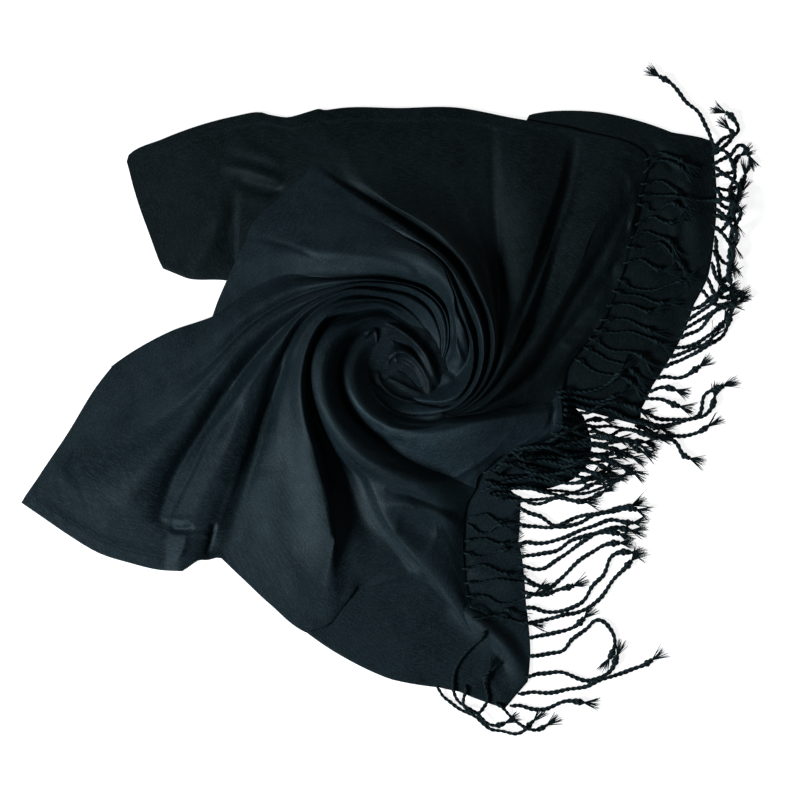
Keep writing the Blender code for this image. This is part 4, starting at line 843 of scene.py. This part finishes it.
# Courses of the tassels in px, from their roots on the hem to the knot.
tasselCourses = {
    "fringe_upper_outer": (
        ((713, 144), (701, 118), (689, 104), (674, 89), (652, 71)),
        ((715, 148), (722, 136), (735, 130), (728, 116), (716, 112)),
        ((716, 153), (727, 146), (734, 134), (724, 121)),
        ((717, 163), (731, 157), (741, 148), (752, 166)),
        ((718, 176), (733, 172), (736, 158), (748, 152)),
        ((719, 189), (731, 190), (742, 180), (741, 166)),
        ((719, 202), (728, 206), (739, 196), (743, 184)),
        ((718, 216), (726, 218), (731, 206), (740, 194)),
        ((717, 229), (722, 232), (729, 222), (736, 208)),
        ((716, 242), (718, 254), (727, 262), (733, 240)),
        ((715, 256), (720, 270), (722, 283), (734, 266)),
        ((713, 268), (717, 279), (726, 288), (738, 292)),
        ((709, 282), (716, 294), (728, 296), (744, 294)),
        ((704, 292), (712, 298), (722, 304), (736, 300)),
        ((716, 150), (729, 158), (734, 176), (727, 190), (732, 212)),
        ((718, 170), (730, 178), (737, 196), (729, 212), (735, 232)),
        ((718, 192), (728, 200), (736, 214), (729, 232), (734, 254)),
        ((718, 212), (727, 222), (734, 236), (728, 252), (736, 272)),
        ((716, 230), (725, 240), (731, 256), (726, 270), (738, 290)),
    ),
    "fringe_right": (
        ((694, 308), (706, 302), (718, 294), (734, 288)),
        ((690, 318), (702, 310), (712, 298), (722, 288)),
        ((686, 328), (700, 322), (716, 312), (738, 300)),
        ((683, 337), (697, 332), (714, 316), (744, 296)),
        ((679, 347), (694, 344), (712, 332), (726, 312)),
        ((675, 356), (696, 350), (716, 338), (736, 306)),
        ((668, 366), (680, 362), (696, 352), (714, 330)),
        ((660, 378), (676, 378), (690, 375), (706, 360)),
        ((652, 391), (664, 389), (674, 389), (684, 391)),
        ((648, 398), (662, 400), (676, 404), (688, 406)),
        ((643, 411), (662, 418), (696, 414), (706, 394), (732, 383)),
        ((643, 420), (662, 424), (690, 420), (708, 408), (714, 388)),
        ((643, 426), (656, 434), (676, 437), (700, 432), (714, 420)),
        ((640, 428), (658, 436), (674, 444), (684, 456), (698, 462)),
    ),
    "fringe_upper_inner": (
        ((650, 158), (662, 152), (676, 158), (688, 174)),
        ((648, 170), (660, 162), (674, 166), (690, 180)),
        ((646, 184), (660, 183), (674, 190), (688, 204)),
        ((644, 196), (660, 196), (686, 200), (712, 200), (730, 196)),
        ((643, 206), (656, 210), (672, 204), (688, 212)),
        ((640, 222), (652, 214), (668, 222), (684, 216)),
        ((636, 236), (650, 230), (668, 240), (676, 256)),
        ((632, 248), (644, 250), (660, 244), (678, 262), (688, 278)),
        ((629, 262), (642, 258), (656, 270), (672, 268)),
        ((623, 282), (636, 288), (654, 290), (676, 284), (694, 278)),
        ((618, 292), (636, 296), (656, 304), (676, 300)),
        ((612, 306), (628, 306), (646, 314), (662, 310)),
        ((606, 320), (624, 320), (642, 326), (662, 336)),
        ((600, 331), (620, 334), (646, 340), (668, 352)),
        ((594, 341), (610, 350), (632, 352), (652, 368)),
        ((588, 350), (602, 360), (622, 364), (644, 382)),
        ((580, 362), (600, 374), (622, 378), (640, 394)),
    ),
    "fringe_tongue": (
        ((562, 392), (584, 392), (604, 388), (618, 378), (630, 366)),
        ((564, 398), (586, 401), (608, 398), (626, 392)),
        ((567, 404), (590, 410), (614, 412), (640, 423), (668, 431)),
        ((567, 410), (588, 416), (604, 404), (626, 408), (648, 414)),
        ((567, 416), (590, 424), (612, 426), (638, 432), (666, 436)),
        ((566, 422), (588, 428), (612, 440), (634, 438), (652, 446)),
        ((564, 428), (580, 440), (604, 448), (626, 456)),
        ((562, 433), (582, 434), (604, 432), (630, 446), (652, 452)),
        ((558, 437), (576, 449), (600, 454), (618, 462), (640, 476)),
        ((552, 441), (570, 444), (596, 442), (616, 450), (640, 462)),
        ((560, 426), (584, 436), (606, 436), (630, 430), (656, 438)),
        ((556, 434), (578, 440), (602, 446), (628, 440), (650, 450)),
    ),
    "fringe_tongue_lower": (
        ((528, 446), (546, 441), (566, 432), (588, 420), (612, 418)),
        ((520, 450), (540, 456), (566, 458), (600, 462), (628, 470)),
        ((512, 455), (536, 448), (560, 452), (590, 470), (622, 482)),
        ((508, 461), (530, 466), (558, 470), (584, 464), (616, 474)),
        ((500, 466), (526, 460), (552, 462), (580, 476), (604, 480)),
        ((496, 472), (520, 478), (548, 484), (580, 480), (612, 466)),
        ((488, 470), (506, 462), (530, 457), (556, 459), (586, 458)),
        ((490, 482), (514, 488), (544, 488), (576, 492), (600, 486), (630, 470)),
        ((487, 489), (508, 480), (536, 476), (566, 484), (596, 474)),
        ((494, 494), (516, 496), (546, 502), (580, 498), (612, 490)),
        ((534, 446), (556, 448), (578, 444), (600, 436), (624, 440)),
        ((524, 448), (548, 448), (572, 456), (598, 452), (622, 456)),
        ((516, 453), (540, 462), (564, 466), (590, 458), (616, 462)),
        ((504, 464), (528, 472), (556, 474), (586, 470), (610, 478)),
        ((498, 486), (520, 488), (548, 494), (572, 500), (594, 504)),
        ((500, 498), (522, 504), (550, 498), (574, 490), (602, 482)),
    ),
    "fringe_lower_outer": (
        ((521, 508), (540, 515), (566, 528), (602, 513), (640, 502)),
        ((521, 524), (550, 527), (584, 515), (612, 510), (645, 508)),
        ((521, 545), (548, 542), (578, 531), (608, 521), (642, 520)),
        ((524, 556), (548, 552), (574, 538), (600, 530), (628, 536)),
        ((525, 566), (545, 566), (570, 550), (600, 530), (640, 530)),
        ((526, 578), (550, 588), (575, 565), (600, 545), (628, 540)),
        ((527, 592), (545, 595), (560, 588), (580, 578)),
        ((530, 608), (556, 612), (585, 598), (600, 575), (610, 556), (640, 550)),
        ((533, 622), (562, 618), (590, 608), (620, 572), (636, 554)),
        ((533, 637), (552, 634), (572, 628), (592, 613)),
        ((534, 655), (560, 653), (572, 640), (590, 622), (602, 622), (613, 633), (613, 652), (604, 666)),
        ((531, 676), (560, 675), (588, 682), (608, 670), (622, 647)),
        ((524, 694), (552, 696), (580, 688), (610, 676), (640, 664), (660, 657)),
        ((516, 706), (540, 708), (570, 700), (592, 699)),
    ),
    "fringe_lower_inner": (
        ((475, 516), (488, 512), (500, 520), (516, 514)),
        ((472, 526), (486, 532), (500, 527), (516, 532)),
        ((470, 540), (486, 538), (500, 546), (518, 542)),
        ((469, 554), (484, 558), (500, 552), (520, 549)),
        ((468, 568), (484, 566), (502, 574), (520, 570)),
        ((470, 582), (490, 577), (516, 584), (548, 588)),
        ((472, 596), (485, 597), (503, 603), (545, 590)),
        ((475, 608), (490, 614), (506, 606), (524, 614)),
        ((478, 618), (500, 618), (520, 624), (540, 625)),
    ),
    "fringe_bottom": (
        ((440, 691), (447, 702), (480, 723), (500, 732), (520, 732), (542, 716)),
        ((482, 634), (464, 655), (454, 675), (457, 700), (488, 721), (514, 723)),
        ((466, 690), (468, 706), (480, 712), (488, 700), (486, 680), (494, 664)),
        ((500, 706), (514, 716), (534, 728), (556, 722)),
    ),
}


def newTree(name, numbers, whole=()):
    # an empty Geometry Nodes tree with a curve, numbers and a material as its inputs
    tree = bpy.data.node_groups.new(name, "GeometryNodeTree")
    tree.interface.new_socket("Geometry", in_out="INPUT", socket_type="NodeSocketGeometry")
    for label, value in numbers:
        kind = "NodeSocketInt" if label in whole else "NodeSocketFloat"
        tree.interface.new_socket(label, in_out="INPUT", socket_type=kind).default_value = value
    tree.interface.new_socket("Yarn", in_out="INPUT", socket_type="NodeSocketMaterial")
    tree.interface.new_socket("Geometry", in_out="OUTPUT", socket_type="NodeSocketGeometry")
    return tree, addNode(tree, "NodeGroupInput")


def closeTree(tree, given, source):
    smooth = addNode(tree, "GeometryNodeSetShadeSmooth", {}, {0: source})
    real = addNode(tree, "GeometryNodeRealizeInstances", {}, {0: smooth.outputs[0]})
    colored = addNode(tree, "GeometryNodeSetMaterial", {},
                      {"Geometry": real.outputs[0], "Material": given.outputs["Yarn"]})
    tree.links.new(colored.outputs[0], addNode(tree, "NodeGroupOutput").inputs[0])


def makeCordTree():
    # twists plies round every spline, at the radius of its points
    tree, given = newTree("twistedCord", (("Step", 0.001), ("Pitch", 0.009), ("Ply", 0.001),
                                          ("Spread", 0.001), ("Plies", 2), ("Sides", 8)), ("Plies", "Sides"))
    even = addNode(tree, "GeometryNodeResampleCurve", {"mode": "LENGTH"},
                   {"Curve": given.outputs["Geometry"], "Length": given.outputs["Step"]})
    place = addNode(tree, "GeometryNodeSplineParameter")
    turns = addNode(tree, "ShaderNodeMath", {"operation": "DIVIDE"},
                    {0: place.outputs["Length"], 1: given.outputs["Pitch"]})
    angle = addNode(tree, "ShaderNodeMath", {"operation": "MULTIPLY", 1: 2 * math.pi},
                    {0: turns.outputs[0]})
    tilt = addNode(tree, "GeometryNodeSetCurveTilt", {},
                   {"Curve": even.outputs[0], "Tilt": angle.outputs[0]})
    circle = addNode(tree, "GeometryNodeCurvePrimitiveCircle", {},
                     {"Resolution": given.outputs["Sides"], "Radius": given.outputs["Ply"]})
    plies = addNode(tree, "GeometryNodeDuplicateElements", {"domain": "SPLINE"},
                    {"Geometry": circle.outputs[0], "Amount": given.outputs["Plies"]})
    side = addNode(tree, "ShaderNodeMath", {"operation": "MULTIPLY_ADD", 1: 2.0, 2: -1.0},
                   {0: plies.outputs[1]})
    shift = addNode(tree, "ShaderNodeMath", {"operation": "MULTIPLY"},
                    {0: side.outputs[0], 1: given.outputs["Spread"]})
    offset = addNode(tree, "ShaderNodeCombineXYZ", {}, {0: shift.outputs[0]})
    profile = addNode(tree, "GeometryNodeSetPosition", {},
                      {"Geometry": plies.outputs[0], "Offset": offset.outputs[0]})
    radius = addNode(tree, "GeometryNodeInputRadius")
    sweep = addNode(tree, "GeometryNodeCurveToMesh", {"Fill Caps": True},
                    {"Curve": tilt.outputs[0], "Profile Curve": profile.outputs[0],
                     "Scale": radius.outputs[0]})
    closeTree(tree, given, sweep.outputs[0])
    return tree


def makeStitchTree():
    # one short stitch after another along every spline
    tree, given = newTree("stitchRow", (("Spacing", 0.0034), ("Length", 0.0024), ("Thickness", 0.0006)))
    even = addNode(tree, "GeometryNodeResampleCurve", {"mode": "LENGTH"},
                   {"Curve": given.outputs["Geometry"], "Length": given.outputs["Spacing"]})
    bead = addNode(tree, "GeometryNodeMeshUVSphere", {"Segments": 8, "Rings": 6, "Radius": 0.5})
    tangent = addNode(tree, "GeometryNodeInputTangent")
    turn = addNode(tree, "FunctionNodeAlignRotationToVector", {"axis": "X"}, {"Vector": tangent.outputs[0]})
    size = addNode(tree, "ShaderNodeCombineXYZ", {},
                   {0: given.outputs["Length"], 1: given.outputs["Thickness"],
                    2: given.outputs["Thickness"]})
    row = addNode(tree, "GeometryNodeInstanceOnPoints", {},
                  {"Points": even.outputs[0], "Instance": bead.outputs[0], "Rotation": turn.outputs[0],
                   "Scale": size.outputs[0]})
    closeTree(tree, given, row.outputs[0])
    return tree


stitchTree = makeStitchTree()
cordTree = makeCordTree()


def sweptMesh(name, tree, courses, radii, **values):
    # the mesh that a tree makes along courses in mm
    curve = bpy.data.curves.new(name + "Course", "CURVE")
    curve.dimensions = "3D"
    curve.twist_mode = "MINIMUM"
    for course, radius in zip(courses, radii):
        spline = curve.splines.new("POLY")
        spline.points.add(len(course) - 1)
        spline.points.foreach_set("co", np.column_stack([course * mm, np.ones(len(course))]).ravel())
        spline.points.foreach_set("radius", np.asarray(radius, float))
    holder = addPiece(name + "Course", curve)
    modifier = holder.modifiers.new("cord", "NODES")
    modifier.node_group = tree
    values["Yarn"] = yarnMaterial
    for item in tree.interface.items_tree:
        if item.in_out == "INPUT" and item.name in values:
            modifier[item.identifier] = values[item.name]
    bpy.context.view_layer.update()
    mesh = bpy.data.meshes.new_from_object(holder.evaluated_get(bpy.context.evaluated_depsgraph_get()))
    bpy.data.objects.remove(holder, do_unlink=True)
    return mesh


def laidCourse(pointsPx, rootHeight, fluff, seed):
    # a tassel's course over what already lies there, and its thickness, with a knot near the end
    points = np.array(pointsPx, float)
    start = points[0] - points[1]
    root = points[0] + start / np.linalg.norm(start) * tassel["rootPx"]
    plan = polylinePoints([fromPx(p) for p in (root, *points)], tassel["courseStep"])[:-tassel["cut"]]
    places = np.arange(len(plan))
    aside = np.array([noise.noise(Vector((way, seed * 3.7, 0.5)))
                      for way in places * tassel["courseStep"] / tassel["wanderLength"]])
    aside *= tassel["wander"] * ease(places, 0, tassel["straight"])
    run = np.gradient(plan, axis=0)
    run /= np.linalg.norm(run, axis=1)[:, None]
    plan = plan + np.column_stack([-run[:, 1], run[:, 0]]) * aside[:, None]
    column, row = mapIndex(plan)
    below = np.zeros(len(plan))
    for dx, dy in neighbours:
        below = np.maximum(below, laidHeight[column + dx, row + dy])
    radius = fluff * (tassel["thickness"] + tassel["swell"] * np.sin(places * tassel["swellStep"] + seed))
    radius[:len(tassel["rootRadii"])] = tassel["rootRadii"]
    knotPlace = len(plan) - tassel["knotAt"]
    radius += tassel["knot"] * np.exp(-((places - knotPlace) / tassel["knotLength"]) ** 2)
    # it never cuts into what it passes over
    need = below + (tassel["ply"] + tassel["spread"]) * radius + tassel["clearance"]
    bridge, smooth, first = tassel["bridge"], tassel["smooth"], tassel["rootSteps"]
    wide = np.array([need[max(0, i - bridge):i + bridge + 1].max() for i in range(len(need))])
    kernel = np.hanning(smooth) / np.hanning(smooth).sum()
    height = np.maximum(np.convolve(np.pad(wide, smooth // 2, mode="edge"), kernel, mode="valid"), need)
    height[:first] = rootHeight + (height[first] - rootHeight) * np.linspace(0, 1, first + 1)[:first]
    return np.column_stack([plan, height]), radius


def tuftFibres(end, along, rng):
    # loose fibres that fan out from the knot
    courses = []
    sideways = np.array([-along[1], along[0], 0.0])
    for _ in range(tuft["fibres"]):
        spread = rng.uniform(-1, 1) * tuft["spread"]
        lift = rng.uniform(*tuft["lift"])
        length = tuft["length"] * rng.uniform(*tuft["lengths"])
        bend = rng.uniform(-tuft["bend"], tuft["bend"])
        course = []
        for t in np.linspace(0, 1, len(tuft["taper"])):
            point = end + along * length * t + sideways * length * (spread * t + bend * t * t * 0.5)
            height = end[2] + length * lift * t - end[2] * tuft["sag"] * t + rng.uniform(0, tuft["jitter"])
            point[2] = max(tuft["lowest"], height)
            course.append(point)
        courses.append(np.array(course))
    return courses


rng = random.Random(11)
fringes = {}
for name, rows in tasselCourses.items():
    courses, radii, fibres = [], [], []
    for points in rows:
        column, row = mapIndex(fromPx(points[0]))
        reach = tassel["rootReach"]
        around = laidHeight[column - reach:column + reach + 1, row - reach:row + reach + 1]
        rootHeight = max(tassel["rootLowest"], around.max() - tassel["rootSink"])
        course, radius = laidCourse(points, rootHeight, tasselFluff[name], rng.uniform(0, 90))
        courses.append(course)
        radii.append(radius)
        along = course[-1] - course[-5]
        along[2] = 0
        along /= np.linalg.norm(along)
        fibres += tuftFibres(course[-2], along, rng)
        for dx, dy in neighbours:
            rise = tassel["top"] if dx == dy == 0 else tassel["shoulder"]
            layOnMap(course + (dx * tassel["halfWidth"], dy * tassel["halfWidth"], rise))
    cords = sweptMesh(name, cordTree, courses, radii, Step=tassel["step"] * mm, Pitch=tassel["pitch"] * mm,
                      Ply=tassel["ply"] * mm, Spread=tassel["spread"] * mm, Plies=tassel["plies"],
                      Sides=tassel["sides"])
    tufts = sweptMesh(name + "Tuft", cordTree, fibres, [tuft["taper"]] * len(fibres), Step=tuft["step"] * mm,
                      Pitch=1.0, Ply=tuft["fibre"] * mm, Spread=0.0, Plies=1, Sides=tuft["sides"])
    joined = bmesh.new()
    joined.from_mesh(cords)
    joined.from_mesh(tufts)
    cords.clear_geometry()
    joined.to_mesh(cords)
    joined.free()
    bpy.data.meshes.remove(tufts)
    cords.materials.clear()
    cords.materials.append(yarnMaterial)
    fringes[name] = addPiece(name.replace("fringe_", "tassels_"), cords)
print("tassels", {name: len(piece.data.polygons) for name, piece in fringes.items()})

# hem stitches: their sizes, and the angles between which each row runs
stitch = {"spacing": 3.2, "length": 2.6, "thickness": 0.5, "lift": 0.06}
stitchRows = {"topPanel": (64, 143), "lowerPanel": (-159, -139), "tonguePanel": (-56, -16)}


def hemCourse(grid, low, high):
    # a line on a sheet at a fixed distance from its edge
    course = []
    for column in grid[:hem["rows"]].transpose(1, 0, 2):
        if low < math.degrees(math.atan2(column[0, 1], column[0, 0])) < high:
            gone = np.concatenate([[0], np.cumsum(np.linalg.norm(np.diff(column, axis=0), axis=1))])
            course.append([np.interp(hem["stitchAt"], gone, line) for line in column.T])
    return np.array(course) + (0, 0, stitch["lift"])


stitches = {}
for name, (low, high) in stitchRows.items():
    row = hemCourse(surfaces[name], low, high)
    mesh = sweptMesh(name + "Stitches", stitchTree, [row], [np.ones(len(row))],
                     Spacing=stitch["spacing"] * mm, Length=stitch["length"] * mm,
                     Thickness=stitch["thickness"] * mm)
    stitches[name] = addPiece("stitches" + name[0].upper() + name[1:], mesh)
print("hem stitches")

# how the pieces go with the model
nodesFor = {name: setting["replaces"] for name, setting in sheetSettings.items()}
nodesFor.update({name: (node,) for name, node in underNodes.items()})
nodesFor.update({"hiddenLayers": ("folded_layers",), "eyeTuft": ("eye_tuft",)})
# Each piece hangs from the root, and the parts of the model it stands for are hidden.
for name, piece in sheets.items():
    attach(piece, "root")
    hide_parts(*nodesFor[name])
for name, piece in stitches.items():
    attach(piece, "root")
for name, piece in fringes.items():
    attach(piece, "root")
    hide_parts(name)

# floor, light and camera
backdrop = {"half": 4, "below": -0.0002, "color": "c8c8c8", "glow": 0.85}      # in metres
floorMesh = bpy.data.meshes.new("floor")
floorMesh.from_pydata([(x * backdrop["half"], y * backdrop["half"], backdrop["below"])
                       for x, y in ((-1, -1), (1, -1), (1, 1), (-1, 1))], [], [(0, 1, 2, 3)])
floor = addPiece("floor", floorMesh)
paper, _, paperShader = newMaterial("paleBackdrop")        # matt paper, lit evenly enough to stay white
setNode(paperShader, {"Base Color": hexColor(backdrop["color"]), "Roughness": 0.9,
                      "Emission Color": (1, 1, 1, 1), "Emission Strength": backdrop["glow"]})
floorMesh.materials.append(paper)

lights = {
    "softKey": {"place": (-1.36, -0.70, 1.12), "target": (-0.02, -0.03, 0), "size": 0.7, "power": 48,
                "color": "f0f6fc"},
    "farFill": {"place": (1.2, 1.1, 0.9), "target": (0, 0, 0), "size": 0.9, "power": 2.5,
                "color": "ffffff"},
}
for name, light in lights.items():
    data = bpy.data.lights.new(name, "AREA")
    data.shape = "DISK"
    data.size = light["size"]
    data.energy = light["power"]
    data.color = hexColor(light["color"])[:3]
    lamp = addPiece(name, data)
    lamp.location = light["place"]
    away = Vector(light["target"]) - Vector(light["place"])
    lamp.rotation_euler = away.to_track_quat("-Z", "Y").to_euler()
sky = {"color": "f2f7fb", "strength": 0.07}
world = bpy.data.worlds.new("studio")
world.use_nodes = True
setNode(world.node_tree.nodes["Background"], {"Color": hexColor(sky["color"]), "Strength": sky["strength"]})
bpy.context.scene.world = world
bpy.context.scene.view_settings.view_transform = "Standard"

view = {"height": 2.2, "across": 0.576, "centre": (-0.0036, -0.0274), "sensor": 36.0}
lens = bpy.data.cameras.new("camera")
lens.sensor_width = view["sensor"]
lens.lens = view["sensor"] * view["height"] / view["across"]
camera = addPiece("camera", lens)
camera.location = (*view["centre"], view["height"])
bpy.context.scene.camera = camera
print("floor, light and camera")

bpy.context.view_layer.update()
